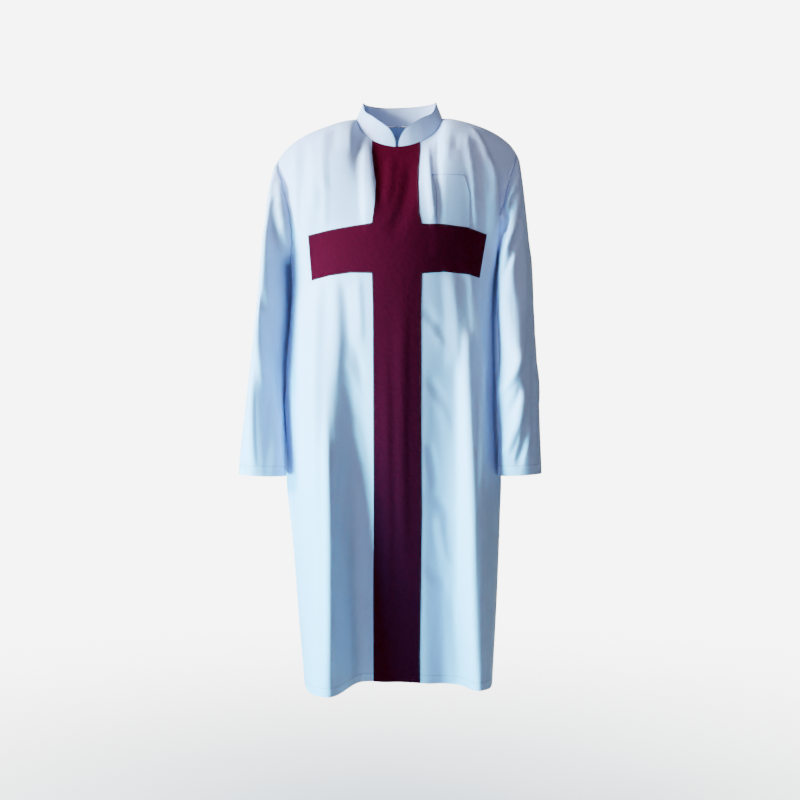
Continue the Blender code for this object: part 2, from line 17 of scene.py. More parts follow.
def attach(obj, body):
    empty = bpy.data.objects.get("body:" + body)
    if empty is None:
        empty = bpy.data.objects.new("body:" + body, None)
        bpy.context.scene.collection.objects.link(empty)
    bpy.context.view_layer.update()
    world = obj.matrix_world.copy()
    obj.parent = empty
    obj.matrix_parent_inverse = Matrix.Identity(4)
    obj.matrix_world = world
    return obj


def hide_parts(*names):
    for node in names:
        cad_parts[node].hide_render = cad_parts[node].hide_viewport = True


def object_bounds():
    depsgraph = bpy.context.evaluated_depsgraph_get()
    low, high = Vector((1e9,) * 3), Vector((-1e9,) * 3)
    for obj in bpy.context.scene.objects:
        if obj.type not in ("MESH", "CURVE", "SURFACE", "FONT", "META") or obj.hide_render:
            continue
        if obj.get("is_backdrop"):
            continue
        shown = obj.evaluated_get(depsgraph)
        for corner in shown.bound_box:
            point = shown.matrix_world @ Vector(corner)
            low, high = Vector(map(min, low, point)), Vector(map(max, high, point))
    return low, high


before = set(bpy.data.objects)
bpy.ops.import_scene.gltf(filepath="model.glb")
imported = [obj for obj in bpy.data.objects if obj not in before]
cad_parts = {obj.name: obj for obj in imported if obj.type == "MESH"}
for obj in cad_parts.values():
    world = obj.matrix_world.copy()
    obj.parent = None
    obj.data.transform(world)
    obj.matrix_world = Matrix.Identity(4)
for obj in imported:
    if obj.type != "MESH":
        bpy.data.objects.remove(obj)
cad_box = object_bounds()

bl_info = {
    "name": "Cross Tunic Looks",
    "version": (1, 0, 0),
    "blender": (4, 5, 0),
    "location": "View3D > Sidebar > Tunic",
    "description": "Builds the cloth, the cross, the pocket, the stitching and the stage of a worn tunic",
    "category": "Object",
}

# Each piece of the body and the nodes that it stands for: the right sleeve's cloth is one piece
# over two solids.
BODY_PIECES = {
    "front_panel": ("front_panel",),
    "back_panel": ("back_panel",),
    "sleeve_right": ("sleeve_right", "sleeve_right_lower"),
    "sleeve_left": ("sleeve_left",),
}
FIRST_SLEEVE = 2
WHITE_SLOT = "white_cloth"
CRIMSON_SLOT = "crimson_cloth"

# Points nearer than SAME_SPOT are one, a seam's two edges are nearer than SEAM_REACH, and only
# the rim of a solid wall has sides as short as WALL_EDGE. Regular quads come back from triangles.
SAME_SPOT = 0.00001
SEAM_REACH = 0.0008
WALL_EDGE = 0.0023
QUAD_REGULARITY = 1.75
SHARP_EDGE = 50

# Below UNDER_ARM only the side seams are left, and below HEMS_BELOW an open edge that rises less
# than HEM_SLOPE of its length is a hem. FAR_AWAY stands for no hem or seam on a piece.
UNDER_ARM = -0.28
HEMS_BELOW = -0.66
HEM_SLOPE = 0.7
FAR_AWAY = 1.0

# Steps that an edge is looked up in, for a sheet's short edges and for a patch's long sides.
SHEET_EDGE_STEPS = 4
PATCH_EDGE_STEPS = 200

# A place on the front is looked for from IN_FRONT. A patch is cut from the cloth PATCH_MARGIN
# round its outline, by a prism of it from PRISM_BACK through PRISM_DEPTH towards the viewer.
IN_FRONT = 1.0
PATCH_MARGIN = 0.02
PRISM_BACK = 0.03
PRISM_DEPTH = 0.45
PATH_SPACING = 0.004

# Stitches: how much of each step is thread, how far it stands proud, and its small sag.
STITCH_SHARE = 0.72
STITCH_RISE = 0.25

# Widths in metres of what shows beside a seam or a hem's stitching, and the colour of the painted shade
# there.
PUCKERS_PER_METRE = 110.0
PUCKER_DETAIL = 2.0
HEM_LINE_WIDTH = 0.0014
HEM_PUCKER_WIDTH = 0.009
SEAM_PUCKER_WIDTH = 0.013
# Below: the painted seam shade's width, how far the hem's stitching line sinks and its painted shade's share.
PAINTED_SEAM_SHADE_WIDTH = 0.0028
LINE_DEPTH = 0.5
PAINTED_LINE_SHADE = 0.6
PUCKER_RELIEF = 0.0014
PUCKER_STRENGTH = 0.6
# Painted shade: the cloth's colour is multiplied by this along seams, patch edges and the hem's stitching
# line.
PAINTED_SEAM_SHADE = (0.42, 0.46, 0.56, 1.0)

# The weave: widths of a yarn and a slub and how far slubs are drawn out along each yarn, the
# weave's relief and what part of its tone turns from the shade to the cloth's own colour.
YARN_SPACING = 0.00045
SLUB_SPACING = 0.0022
SLUB_STRETCH = ((1.0, 0.05), (0.06, 1.0))
SLUB_DETAIL = 2.0
YARN_RELIEF = 0.00012
YARN_STRENGTH = 0.35
TONE_FROM = 0.36
TONE_TO = 0.56
SHEEN_ROUGHNESS = 0.35

# Each cloth's finish: its roughness, its sheen and its gloss, and how far the yarns' tone spreads
# the roughness. The thread's twist, and the share of its colour left where it is darkest.
WHITE_FINISH = (0.52, 0.20, 0.35)
CRIMSON_FINISH = (0.85, 0.0, 0.03)
ROUGHNESS_SPREAD = 0.10
THREAD_TWISTS_PER_METRE = 900.0
THREAD_DARKEST = 0.7

# Views that a crease is placed in: the axis across it, the axis it faces along and which way,
# and how far out the cloth that it moves lies, so that a sleeve and the side behind it differ.
View = namedtuple("View", "across facing sign nearest farthest")
VIEWS = {
    "front": View(0, 1, -1.0, -1.0, 1.0),
    "back": View(0, 1, 1.0, -1.0, 1.0),
    "right sleeve": View(1, 0, -1.0, 0.235, 1.0),
    "left sleeve": View(1, 0, 1.0, 0.235, 1.0),
    "right side": View(1, 0, -1.0, 0.100, 0.235),
    "left side": View(1, 0, 1.0, 0.100, 0.235),
}
FACING_START = 0.12
FACING_SPREAD = 0.45

# A crease runs from its upper to its lower end. Across is X on the front and back, Y on a side.
# Bow is how far its middle swings across, lean how much wider its near side is, and depth is out
# of the cloth, or into it below zero.
Crease = namedtuple("Crease", "view across_high high across_low low bow half_width lean depth")


def creases(view, *rows):
    return tuple(Crease(view, *row) for row in rows)


FRONT_CREASES = creases(
    "front",
    (-0.204, -0.066, -0.200, -0.262, 0.002, 0.013, 0.3, 0.0040),
    (-0.186, -0.056, -0.182, -0.165, 0.002, 0.014, 0.0, -0.0028),
    (-0.166, -0.070, -0.160, -0.210, -0.002, 0.014, 0.2, 0.0022),
    (-0.143, -0.036, -0.141, -0.168, -0.002, 0.016, 0.5, 0.0040),
    (-0.140, -0.140, -0.141, -0.240, 0.001, 0.010, 0.4, 0.0018),
    (-0.123, -0.032, -0.126, -0.088, 0.000, 0.011, 0.0, -0.0026),
    (-0.094, -0.030, -0.090, -0.086, 0.000, 0.010, 0.2, 0.0020),
    (-0.080, -0.060, -0.074, -0.250, -0.002, 0.042, 0.6, -0.0062),
    (-0.064, -0.040, -0.047, -0.215, 0.003, 0.018, 0.2, 0.0048),
    (-0.250, -0.084, -0.216, -0.166, 0.002, 0.007, 0.0, -0.0038),
    (0.063, -0.074, 0.075, -0.240, -0.002, 0.011, 0.45, 0.0054),
    (0.075, -0.066, 0.083, -0.235, 0.002, 0.009, -0.2, -0.0032),
    (0.096, -0.056, 0.098, -0.110, 0.001, 0.010, 0.2, 0.0022),
    (0.081, -0.060, 0.079, -0.096, 0.000, 0.006, 0.0, -0.0028),
    (0.113, -0.048, 0.115, -0.084, 0.000, 0.006, 0.0, -0.0028),
    (0.139, -0.040, 0.149, -0.128, 0.000, 0.010, 0.3, 0.0040),
    (0.149, -0.112, 0.159, -0.245, -0.001, 0.008, 0.3, 0.0030),
    (0.152, -0.072, 0.171, -0.240, 0.003, 0.010, -0.2, -0.0040),
    (0.152, -0.034, 0.195, -0.150, 0.006, 0.012, 0.4, 0.0072),
    (0.195, -0.112, 0.190, -0.400, 0.003, 0.013, 0.5, 0.0094),
    (0.209, -0.118, 0.206, -0.300, 0.003, 0.010, -0.2, -0.0080),
    (0.106, -0.320, 0.112, -0.520, 0.004, 0.020, 0.2, 0.0052),
    (0.130, -0.330, 0.140, -0.460, 0.003, 0.016, 0.0, -0.0042),
    (0.050, -0.400, 0.088, -0.455, 0.003, 0.016, 0.0, -0.0020),
    (0.070, -0.425, 0.098, -0.486, -0.003, 0.015, 0.1, 0.0014),
    (0.060, -0.534, 0.094, -0.594, 0.002, 0.015, 0.0, -0.0020),
    (0.082, -0.566, 0.104, -0.640, -0.002, 0.015, 0.2, 0.0014),
    (0.060, -0.660, 0.074, -0.760, 0.003, 0.014, 0.0, -0.0026),
    (0.056, -0.758, 0.112, -0.812, 0.004, 0.018, 0.0, -0.0020),
    (0.054, -0.896, 0.098, -0.958, 0.004, 0.018, 0.1, -0.0022),
    (0.082, -0.800, 0.098, -0.905, -0.003, 0.016, 0.0, 0.0028),
    (0.132, -0.400, 0.146, -1.130, 0.004, 0.020, 0.3, 0.0046),
    (0.163, -0.380, 0.168, -0.760, 0.002, 0.009, 0.4, 0.0042),
    (0.182, -0.420, 0.186, -1.120, 0.002, 0.012, 0.2, -0.0060),
    (0.108, -0.960, 0.120, -1.130, 0.002, 0.014, 0.0, -0.0028),
    (-0.184, -0.330, -0.186, -0.560, -0.003, 0.016, 0.1, 0.0034),
    (-0.206, -0.500, -0.203, -0.790, 0.002, 0.010, 0.0, -0.0050),
    (-0.158, -0.345, -0.160, -0.700, -0.003, 0.022, 0.1, 0.0040),
    (-0.122, -0.335, -0.117, -0.560, 0.004, 0.016, 0.3, 0.0030),
    (-0.104, -0.345, -0.096, -0.500, 0.003, 0.012, 0.0, -0.0028),
    (-0.076, -0.336, -0.070, -0.470, 0.002, 0.012, 0.3, 0.0030),
    (-0.090, -0.462, -0.066, -0.545, 0.003, 0.010, 0.0, -0.0020),
    (-0.098, -0.500, -0.070, -0.580, 0.003, 0.011, 0.2, 0.0018),
    (-0.104, -0.545, -0.080, -0.640, 0.002, 0.012, 0.0, -0.0022),
    (-0.086, -0.610, -0.064, -0.700, 0.003, 0.011, 0.0, 0.0026),
    (-0.178, -0.600, -0.172, -1.120, -0.002, 0.014, -0.2, -0.0026),
    (-0.136, -0.600, -0.126, -1.090, 0.003, 0.013, 0.4, 0.0044),
    (-0.104, -0.700, -0.108, -1.100, -0.003, 0.015, 0.1, -0.0040),
    (-0.072, -0.740, -0.066, -1.060, 0.003, 0.013, 0.0, 0.0026),
    (0.026, -0.118, -0.012, -0.262, 0.006, 0.020, -0.3, -0.0026),
    (-0.012, -0.096, -0.022, -0.200, 0.003, 0.014, 0.1, 0.0024),
    (0.014, -0.380, 0.016, -0.900, -0.004, 0.018, 0.2, 0.0022),
    (-0.022, -0.480, -0.018, -1.080, 0.003, 0.014, 0.0, 0.0016),
)
BACK_CREASES = creases(
    "back",
    (-0.186, -0.110, -0.160, -0.330, -0.006, 0.015, 0.1, -0.0055),
    (-0.150, -0.130, -0.132, -0.420, -0.004, 0.016, 0.0, 0.0050),
    (-0.110, -0.070, -0.094, -0.300, 0.004, 0.014, -0.2, -0.0036),
    (-0.060, -0.040, -0.052, -0.210, 0.003, 0.013, 0.0, 0.0030),
    (-0.012, -0.030, -0.018, -0.240, 0.002, 0.015, 0.2, -0.0032),
    (0.040, -0.035, 0.046, -0.190, -0.003, 0.012, 0.0, 0.0028),
    (0.088, -0.060, 0.080, -0.330, 0.005, 0.015, 0.1, -0.0042),
    (0.136, -0.110, 0.118, -0.400, 0.005, 0.016, 0.0, 0.0050),
    (0.184, -0.100, 0.154, -0.300, 0.006, 0.014, -0.1, -0.0055),
    (-0.175, -0.360, -0.182, -0.760, -0.004, 0.018, 0.1, -0.0060),
    (-0.138, -0.430, -0.150, -1.090, 0.004, 0.018, 0.2, 0.0060),
    (-0.092, -0.340, -0.100, -0.860, -0.004, 0.017, -0.1, -0.0056),
    (-0.050, -0.420, -0.044, -1.120, 0.004, 0.015, 0.1, 0.0050),
    (-0.010, -0.300, -0.016, -0.760, 0.003, 0.017, 0.0, -0.0048),
    (0.030, -0.360, 0.020, -1.060, -0.003, 0.016, 0.2, 0.0050),
    (0.070, -0.440, 0.060, -1.110, 0.004, 0.018, -0.2, -0.0062),
    (0.112, -0.360, 0.124, -0.900, 0.005, 0.016, 0.0, 0.0055),
    (0.156, -0.420, 0.166, -1.080, -0.004, 0.018, 0.1, -0.0058),
    (0.186, -0.620, 0.188, -1.120, 0.002, 0.012, 0.0, 0.0040),
    (-0.080, -0.800, -0.070, -1.125, 0.003, 0.012, 0.2, -0.0040),
    (0.004, -0.820, 0.000, -1.120, -0.003, 0.013, 0.0, -0.0036),
)
SIDE_CREASES = creases(
    "left side",
    (0.034, -0.215, 0.034, -0.760, 0.004, 0.040, 0.0, 0.0100),
    (0.036, -0.290, 0.036, -0.620, 0.004, 0.034, 0.0, 0.0084),
    (0.034, -0.270, 0.040, -0.700, 0.004, 0.034, 0.1, 0.0060),
    (-0.020, -0.340, -0.014, -0.660, 0.003, 0.022, 0.0, -0.0030),
    (0.000, -0.760, 0.006, -1.120, 0.005, 0.024, 0.2, -0.0040),
    (0.048, -0.700, 0.056, -1.080, 0.004, 0.020, 0.0, 0.0040),
) + creases(
    "right side",
    (0.034, -0.600, 0.034, -0.800, 0.000, 0.034, 0.0, 0.0100),
    (-0.006, -0.600, -0.006, -0.780, 0.000, 0.014, 0.0, -0.0030),
    (-0.014, -0.555, -0.014, -0.685, 0.000, 0.013, 0.0, 0.0044),
    (0.036, -0.290, 0.034, -0.640, 0.005, 0.030, 0.0, 0.0045),
    (-0.026, -0.420, -0.030, -0.880, 0.004, 0.024, 0.2, -0.0040),
    (0.010, -0.740, 0.004, -1.120, 0.004, 0.026, 0.0, 0.0030),
)
RIGHT_SLEEVE_CREASES = creases(
    "front",
    (-0.230, -0.190, -0.230, -0.440, 0.000, 0.020, 0.0, 0.0056),
    (-0.232, -0.400, -0.238, -0.760, -0.003, 0.022, 0.0, 0.0070),
    (-0.237, -0.135, -0.209, -0.300, -0.004, 0.010, 0.2, 0.0050),
    (-0.246, -0.140, -0.237, -0.352, -0.003, 0.012, 0.0, -0.0030),
    (-0.222, -0.236, -0.219, -0.400, 0.000, 0.010, 0.0, -0.0018),
    (-0.262, -0.220, -0.250, -0.420, -0.004, 0.012, 0.2, 0.0034),
    (-0.270, -0.350, -0.240, -0.500, -0.004, 0.013, 0.1, -0.0036),
    (-0.282, -0.400, -0.254, -0.580, -0.006, 0.013, 0.0, 0.0036),
    (-0.262, -0.520, -0.256, -0.700, 0.004, 0.014, 0.0, -0.0024),
    (-0.288, -0.540, -0.282, -0.718, -0.003, 0.012, 0.2, 0.0030),
    (-0.240, -0.500, -0.240, -0.640, 0.003, 0.010, 0.2, 0.0034),
) + creases(
    "back",
    (-0.252, -0.150, -0.226, -0.300, -0.006, 0.013, 0.1, -0.0056),
    (-0.268, -0.230, -0.236, -0.400, -0.006, 0.014, 0.0, 0.0050),
    (-0.276, -0.360, -0.240, -0.470, -0.005, 0.012, 0.2, -0.0060),
    (-0.286, -0.420, -0.246, -0.520, 0.004, 0.013, 0.0, 0.0054),
    (-0.270, -0.540, -0.266, -0.710, 0.003, 0.013, -0.2, -0.0042),
) + creases(
    "right sleeve",
    (-0.040, -0.190, 0.010, -0.340, 0.006, 0.014, 0.0, -0.0030),
    (0.024, -0.240, 0.032, -0.420, 0.004, 0.013, 0.1, 0.0028),
    (-0.024, -0.400, 0.020, -0.500, 0.004, 0.012, 0.0, -0.0034),
    (-0.046, -0.480, -0.014, -0.640, 0.003, 0.013, 0.2, 0.0026),
)
LEFT_SLEEVE_CREASES = creases(
    "front",
    (0.247, -0.098, 0.203, -0.222, 0.007, 0.009, 0.3, 0.0070),
    (0.232, -0.168, 0.202, -0.254, 0.004, 0.009, 0.0, -0.0080),
    (0.248, -0.134, 0.204, -0.304, 0.010, 0.010, 0.3, 0.0074),
    (0.251, -0.164, 0.208, -0.334, 0.009, 0.010, 0.0, -0.0070),
    (0.259, -0.200, 0.257, -0.396, 0.001, 0.012, 0.2, 0.0040),
    (0.250, -0.262, 0.247, -0.505, 0.002, 0.011, 0.3, 0.0060),
    (0.248, -0.478, 0.206, -0.568, 0.006, 0.012, 0.2, 0.0058),
    (0.226, -0.352, 0.224, -0.520, 0.002, 0.016, 0.0, -0.0050),
    (0.244, -0.545, 0.214, -0.610, 0.004, 0.012, 0.0, -0.0036),
    (0.253, -0.562, 0.207, -0.694, 0.006, 0.013, 0.2, 0.0042),
    (0.256, -0.620, 0.232, -0.712, 0.003, 0.011, 0.0, -0.0050),
    (0.270, -0.420, 0.266, -0.690, 0.003, 0.010, 0.1, -0.0024),
) + creases(
    "back",
    (0.246, -0.130, 0.216, -0.270, 0.006, 0.013, 0.0, -0.0056),
    (0.262, -0.200, 0.224, -0.370, 0.008, 0.014, 0.2, 0.0056),
    (0.268, -0.330, 0.226, -0.450, 0.006, 0.012, 0.0, -0.0064),
    (0.270, -0.400, 0.230, -0.520, 0.006, 0.013, 0.1, 0.0058),
    (0.250, -0.540, 0.240, -0.700, -0.003, 0.012, 0.0, -0.0042),
) + creases(
    "left sleeve",
    (-0.050, -0.180, 0.004, -0.320, 0.006, 0.013, 0.0, -0.0030),
    (0.018, -0.260, 0.020, -0.420, 0.004, 0.013, 0.1, 0.0026),
    (-0.056, -0.380, -0.004, -0.480, 0.004, 0.012, 0.0, -0.0034),
    (-0.074, -0.470, -0.030, -0.600, 0.003, 0.012, 0.2, 0.0026),
)
BODY_CREASES = FRONT_CREASES + BACK_CREASES + SIDE_CREASES + RIGHT_SLEEVE_CREASES + LEFT_SLEEVE_CREASES

# Shares of a crease's length: how far each end fades in, and how far it runs past its two points.
CREASE_END = 0.30
CREASE_OVERRUN = 0.08

# The cross's upright at each height and its bar at each place across, seen from the front.
Upright = namedtuple("Upright", "height right left")
UPRIGHT_TOP = (
    Upright(0.050, -0.0500, 0.0460),
    Upright(-0.085, -0.0500, 0.0460),
    Upright(-0.119, -0.0462, 0.0430),
    Upright(-0.155, -0.0414, 0.0420),
    Upright(-0.190, -0.0425, 0.0428),
    Upright(-0.215, -0.0462, 0.0440),
)
UPRIGHT_BOTTOM = (
    Upright(-0.400, -0.0468, 0.0472),
    Upright(-0.640, -0.0462, 0.0474),
    Upright(-0.800, -0.0456, 0.0486),
    Upright(-0.960, -0.0466, 0.0466),
    Upright(-1.080, -0.0466, 0.0450),
    Upright(-1.200, -0.0466, 0.0460),
)
Bar = namedtuple("Bar", "across top bottom")
BAR_RIGHT = (
    Bar(-0.0488, -0.2345, -0.3325),
    Bar(-0.090, -0.2395, -0.3310),
    Bar(-0.134, -0.2460, -0.3355),
    Bar(-0.176, -0.2535, -0.3430),
)
BAR_LEFT = (
    Bar(0.0486, -0.2360, -0.3330),
    Bar(0.092, -0.2360, -0.3290),
    Bar(0.138, -0.2400, -0.3320),
    Bar(0.178, -0.2510, -0.3380),
)
BAR_RIGHT_SLANT = 0.007
BAR_LEFT_SLANT = 0.0145

# The pocket's sides at each height, seen from the front.
Pocket = namedtuple("Pocket", "height inner outer")
POCKET = (
    Pocket(-0.1365, 0.0670, 0.1330),
    Pocket(-0.1510, 0.0720, 0.1385),
    Pocket(-0.1750, 0.0765, 0.1440),
    Pocket(-0.2920, 0.0775, 0.1440),
)
POCKET_BAND = 0.014
POCKET_MARGIN = 0.002
POCKET_SLOPE = 0.012

# How the cloth of each piece was cut: its width and length when flat, and its area.
Cut = namedtuple("Cut", "width length area")

# Studio lights: where each stands and points, its size, spread in degrees, power in watts and colour.
Light = namedtuple("Light", "name place target size spread power colour")
LIGHTS = (
    Light("key", (-2.4, -0.80, 0.45), (-0.06, 0.0, -0.22), 1.1, 43.0, 29.0, (0.80, 0.90, 1.0)),
    Light("low", (-2.0, -1.1, -1.20), (0.0, 0.0, -1.00), 0.9, 60.0, 52.0, (0.03, 0.80, 1.0)),
    Light("shoulder", (0.9, -1.5, 1.2), (0.26, 0.0, -0.10), 0.6, 36.0, 0.5, (0.95, 0.90, 1.0)),
    Light("fill", (-0.8, -3.2, 0.1), (0.0, 0.0, -0.6), 1.6, 180.0, 21.0, (0.80, 0.72, 1.0)),
    Light("back", (-0.8, 3.2, 0.7), (0.0, 0.0, -0.5), 1.6, 180.0, 120.0, (0.80, 0.90, 1.0)),
)

# The soft light from all round, the backdrop's brightness to the camera, how far from the middle
# the floor fades into it, and the camera's sensor in millimetres.
WORLD_COLOUR = (1.0, 0.90, 0.90, 1.0)
WORLD_STRENGTH = 0.08
BACKDROP_STRENGTH = 7.0
FLOOR_FADE_START = -0.7
FLOOR_FADE_END = 2.6
SENSOR_WIDTH = 36.0


def length_property(name, description, default):
    return bpy.props.FloatProperty(name=name, description=description, default=default, unit="LENGTH")


def colour_property(name, description, default):
    return bpy.props.FloatVectorProperty(name=name, description=description, default=default, subtype="COLOR")


class TunicClothSettings(bpy.types.PropertyGroup):
    """Sizes of the cloth, its seams and its stitching."""

    thickness: length_property("Cloth thickness", "Thickness of the body's cloth", 0.0008)
    collar_thickness: length_property("Collar thickness", "Thickness of the lined collar", 0.0018)
    longest_cell: length_property("Longest cell", "Longest side of a cell of the cloth's mesh", 0.0088)
    crease_strength: bpy.props.FloatProperty(
        name="Crease strength", description="Share of the creases' full depth", default=1.0, subtype="FACTOR"
    )
    seam_gap: length_property("Seam gap", "Space between two pieces' edges", 0.00015)
    side_gap: length_property("Side gap", "Space between two edges at a side seam", 0.00004)
    seam_groove: length_property("Seam groove", "How far a seam sinks into the cloth", 0.0007)
    hem_depth: length_property("Hem depth", "Height of the turned hem's stitching", 0.016)
    cuff_depth: length_property("Cuff depth", "Height of a cuff's stitching", 0.020)
    lift: length_property("Lift", "Space under a piece sewn on the front", 0.00025)
    applied_thickness: length_property("Sewn-on thickness", "Thickness of the cross and the pocket", 0.0006)
    stitch_length: length_property("Stitch length", "Length of one stitch and its gap", 0.0036)
    thread_width: length_property("Thread width", "Width of the sewing thread", 0.0005)
    edge_margin: length_property("Edge margin", "How far a stitched edge's thread lies inside it", 0.0022)


class TunicColourSettings(bpy.types.PropertyGroup):
    """Colours of the cloths and threads."""

    white: colour_property("White cloth", "Colour of the tunic's cloth", (0.54, 0.69, 0.98))
    white_shade: colour_property("White slubs", "Colour of its darker yarns", (0.48, 0.63, 0.93))
    crimson: colour_property("Crimson cloth", "Colour of the cross", (0.092, 0.0005, 0.012))
    crimson_shade: colour_property("Crimson slubs", "Colour of its darker yarns", (0.064, 0.0004, 0.009))
    white_thread: colour_property("White thread", "Colour of the white sewing thread", (0.74, 0.81, 0.88))
    crimson_thread: colour_property("Crimson thread", "Colour of the cross's thread", (0.030, 0.0015, 0.016))
    floor: colour_property("Floor", "Colour of the studio floor", (0.86, 0.87, 0.88))


class TunicStageSettings(bpy.types.PropertyGroup):
    """The camera's place and the studio's sizes."""

    camera_distance: length_property("Camera distance", "From the camera to the tunic's middle", 2.5)
    camera_side: length_property("Camera side", "The camera's place across the tunic", 0.006)
    camera_height: length_property("Camera height", "The camera's height, level with the waist", -0.579)
    focal_length: bpy.props.FloatProperty(
        name="Focal length", description="Lens on a 36 mm wide sensor, in millimetres", default=54.9
    )
    floor_height: length_property("Floor height", "The floor that the wearer would stand on", -1.47)
    floor_radius: length_property("Floor radius", "Radius of the round floor", 14.0)


def cloth_settings():
    return bpy.context.scene.tunic_cloth


def colour_settings():
    return bpy.context.scene.tunic_colours


def ease(value):
    """0 to 1 without a kink at either end, for a number or an array."""
    value = np.clip(value, 0.0, 1.0)
    return value * value * (3 - 2 * value)


def deselect_all():
    for thing in bpy.context.selected_objects:
        thing.select_set(False)


def make_active(thing):
    deselect_all()
    thing.select_set(True)
    bpy.context.view_layer.objects.active = thing


def apply_modifiers(thing):
    make_active(thing)
    for modifier in list(thing.modifiers):
        bpy.ops.object.modifier_apply(modifier=modifier.name)


def object_from(name, shape):
    """A new object from a bmesh, which is used up."""
    mesh = bpy.data.meshes.new(name)
    shape.to_mesh(mesh)
    shape.free()
    made = bpy.data.objects.new(name, mesh)
    bpy.context.scene.collection.objects.link(made)
    return made


def outer_sheet(node):
    """The outer face of a node's wall as an open sheet, without the inner face and the rim."""
    sheet = bmesh.new()
    sheet.from_mesh(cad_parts[node].data)
    bmesh.ops.remove_doubles(sheet, verts=sheet.verts, dist=SAME_SPOT)
    rim = {face for face in sheet.faces if min(edge.calc_length() for edge in face.edges) < WALL_EDGE}
    left = set(sheet.faces) - rim
    sides = []
    while left:
        side, reached = set(), [left.pop()]
        while reached:
            face = reached.pop()
            side.add(face)
            beside = {other for edge in face.edges for other in edge.link_faces} & left
            left -= beside
            reached += beside
        sides.append(side)
    outer = max(sides, key=lambda side: sum(face.calc_area() for face in side))
    inner = [face for face in sheet.faces if face not in outer]
    bmesh.ops.delete(sheet, geom=inner, context="FACES")
    bmesh.ops.join_triangles(
        sheet,
        faces=sheet.faces,
        angle_face_threshold=math.pi,
        angle_shape_threshold=math.pi,
        topology_influence=QUAD_REGULARITY,
    )
    return sheet


def weld_body():
    """The outer sheets of the front, the back and the sleeves, welded at their seams."""
    cloth = bmesh.new()
    number = cloth.faces.layers.int.new("piece")
    nodes = [(place, node) for place, nodes in enumerate(BODY_PIECES.values()) for node in nodes]
    for place, node in nodes:
        sheet = outer_sheet(node)
        mesh = bpy.data.meshes.new(node)
        sheet.to_mesh(mesh)
        sheet.free()
        before = len(cloth.faces)
        cloth.from_mesh(mesh)
        bpy.data.meshes.remove(mesh)
        cloth.faces.ensure_lookup_table()
        for face in cloth.faces[before:]:
            face[number] = place
            face.smooth = True
    edges = [vertex for vertex in cloth.verts if vertex.is_boundary]
    bmesh.ops.remove_doubles(cloth, verts=edges, dist=SEAM_REACH)
    return object_from("body", cloth)


def refine(thing, levels):
    """Rounds a coarse sheet, then splits its long cells."""
    rounding = thing.modifiers.new("rounding", "SUBSURF")
    rounding.levels = levels
    rounding.render_levels = levels
    rounding.boundary_smooth = "PRESERVE_CORNERS"
    apply_modifiers(thing)
    cloth = bmesh.new()
    cloth.from_mesh(thing.data)
    longest = cloth_settings().longest_cell
    long_edges = [edge for edge in cloth.edges if edge.calc_length() > longest]
    bmesh.ops.subdivide_edges(cloth, edges=long_edges, cuts=1, use_grid_fill=True)
    cloth.to_mesh(thing.data)
    cloth.free()


def vertex_arrays(mesh):
    points = np.empty(len(mesh.vertices) * 3)
    mesh.vertices.foreach_get("co", points)
    normals = np.empty(len(mesh.vertices) * 3)
    mesh.vertex_normals.foreach_get("vector", normals)
    return points.reshape(-1, 3), normals.reshape(-1, 3)


def crease_depth(crease, points, normals):
    """How far one crease moves each point of a sheet."""
    view = VIEWS[crease.view]
    across, height = points[:, view.across], points[:, 2]
    along = np.array((crease.across_low - crease.across_high, crease.low - crease.high))
    length = np.hypot(*along)
    along /= length
    run = (across - crease.across_high) * along[0] + (height - crease.high) * along[1]
    share = run / length
    aside = (across - crease.across_high) * -along[1] + (height - crease.high) * along[0]
    aside -= crease.bow * 4 * share * (1 - share)
    width = crease.half_width * np.where(aside > 0, 1 - crease.lean, 1 + crease.lean)
    bump = np.clip(1 - (aside / width) ** 2, 0, 1) ** 2
    upper_end = ease((share + CREASE_OVERRUN) / CREASE_END)
    lower_end = ease((1 + CREASE_OVERRUN - share) / CREASE_END)
    facing = ease((normals[:, view.facing] * view.sign - FACING_START) / FACING_SPREAD)
    out = points[:, view.facing] * view.sign
    within = (out > view.nearest) & (out < view.farthest)
    return crease.depth * bump * (upper_end * lower_end) * facing * within


def press_creases(thing, creases):
    """Moves a sheet's points along its own normals by all its creases together."""
    points, normals = vertex_arrays(thing.data)
    depth = sum(crease_depth(crease, points, normals) for crease in creases)
    points += normals * (depth * cloth_settings().crease_strength)[:, None]
    thing.data.vertices.foreach_set("co", points.ravel())
    thing.data.update()


def mark_cuts(body):
    """Marks where the welded cloth is cut apart: at its seams and along each sleeve's underside."""
    cloth = bmesh.new()
    cloth.from_mesh(body.data)
    number = cloth.faces.layers.int["piece"]
    for edge in cloth.edges:
        faces = edge.link_faces
        if len(faces) < 2:
            continue
        parted = faces[0][number] != faces[1][number]
        turned = (faces[0].normal.y > 0) != (faces[1].normal.y > 0)
        inside = (faces[0].normal + faces[1].normal).x * edge.verts[0].co.x < 0
        on_sleeve = faces[0][number] >= FIRST_SLEEVE
        edge.seam = parted or (on_sleeve and turned and inside)
    cloth.to_mesh(body.data)
    cloth.free()


def unwrap(thing):
    """Lays a sheet out flat at its marked cuts."""
    make_active(thing)
    bpy.ops.object.mode_set(mode="EDIT")
    bpy.ops.mesh.select_all(action="SELECT")
    bpy.ops.uv.unwrap(method="ANGLE_BASED", margin=0.001)
    bpy.ops.object.mode_set(mode="OBJECT")


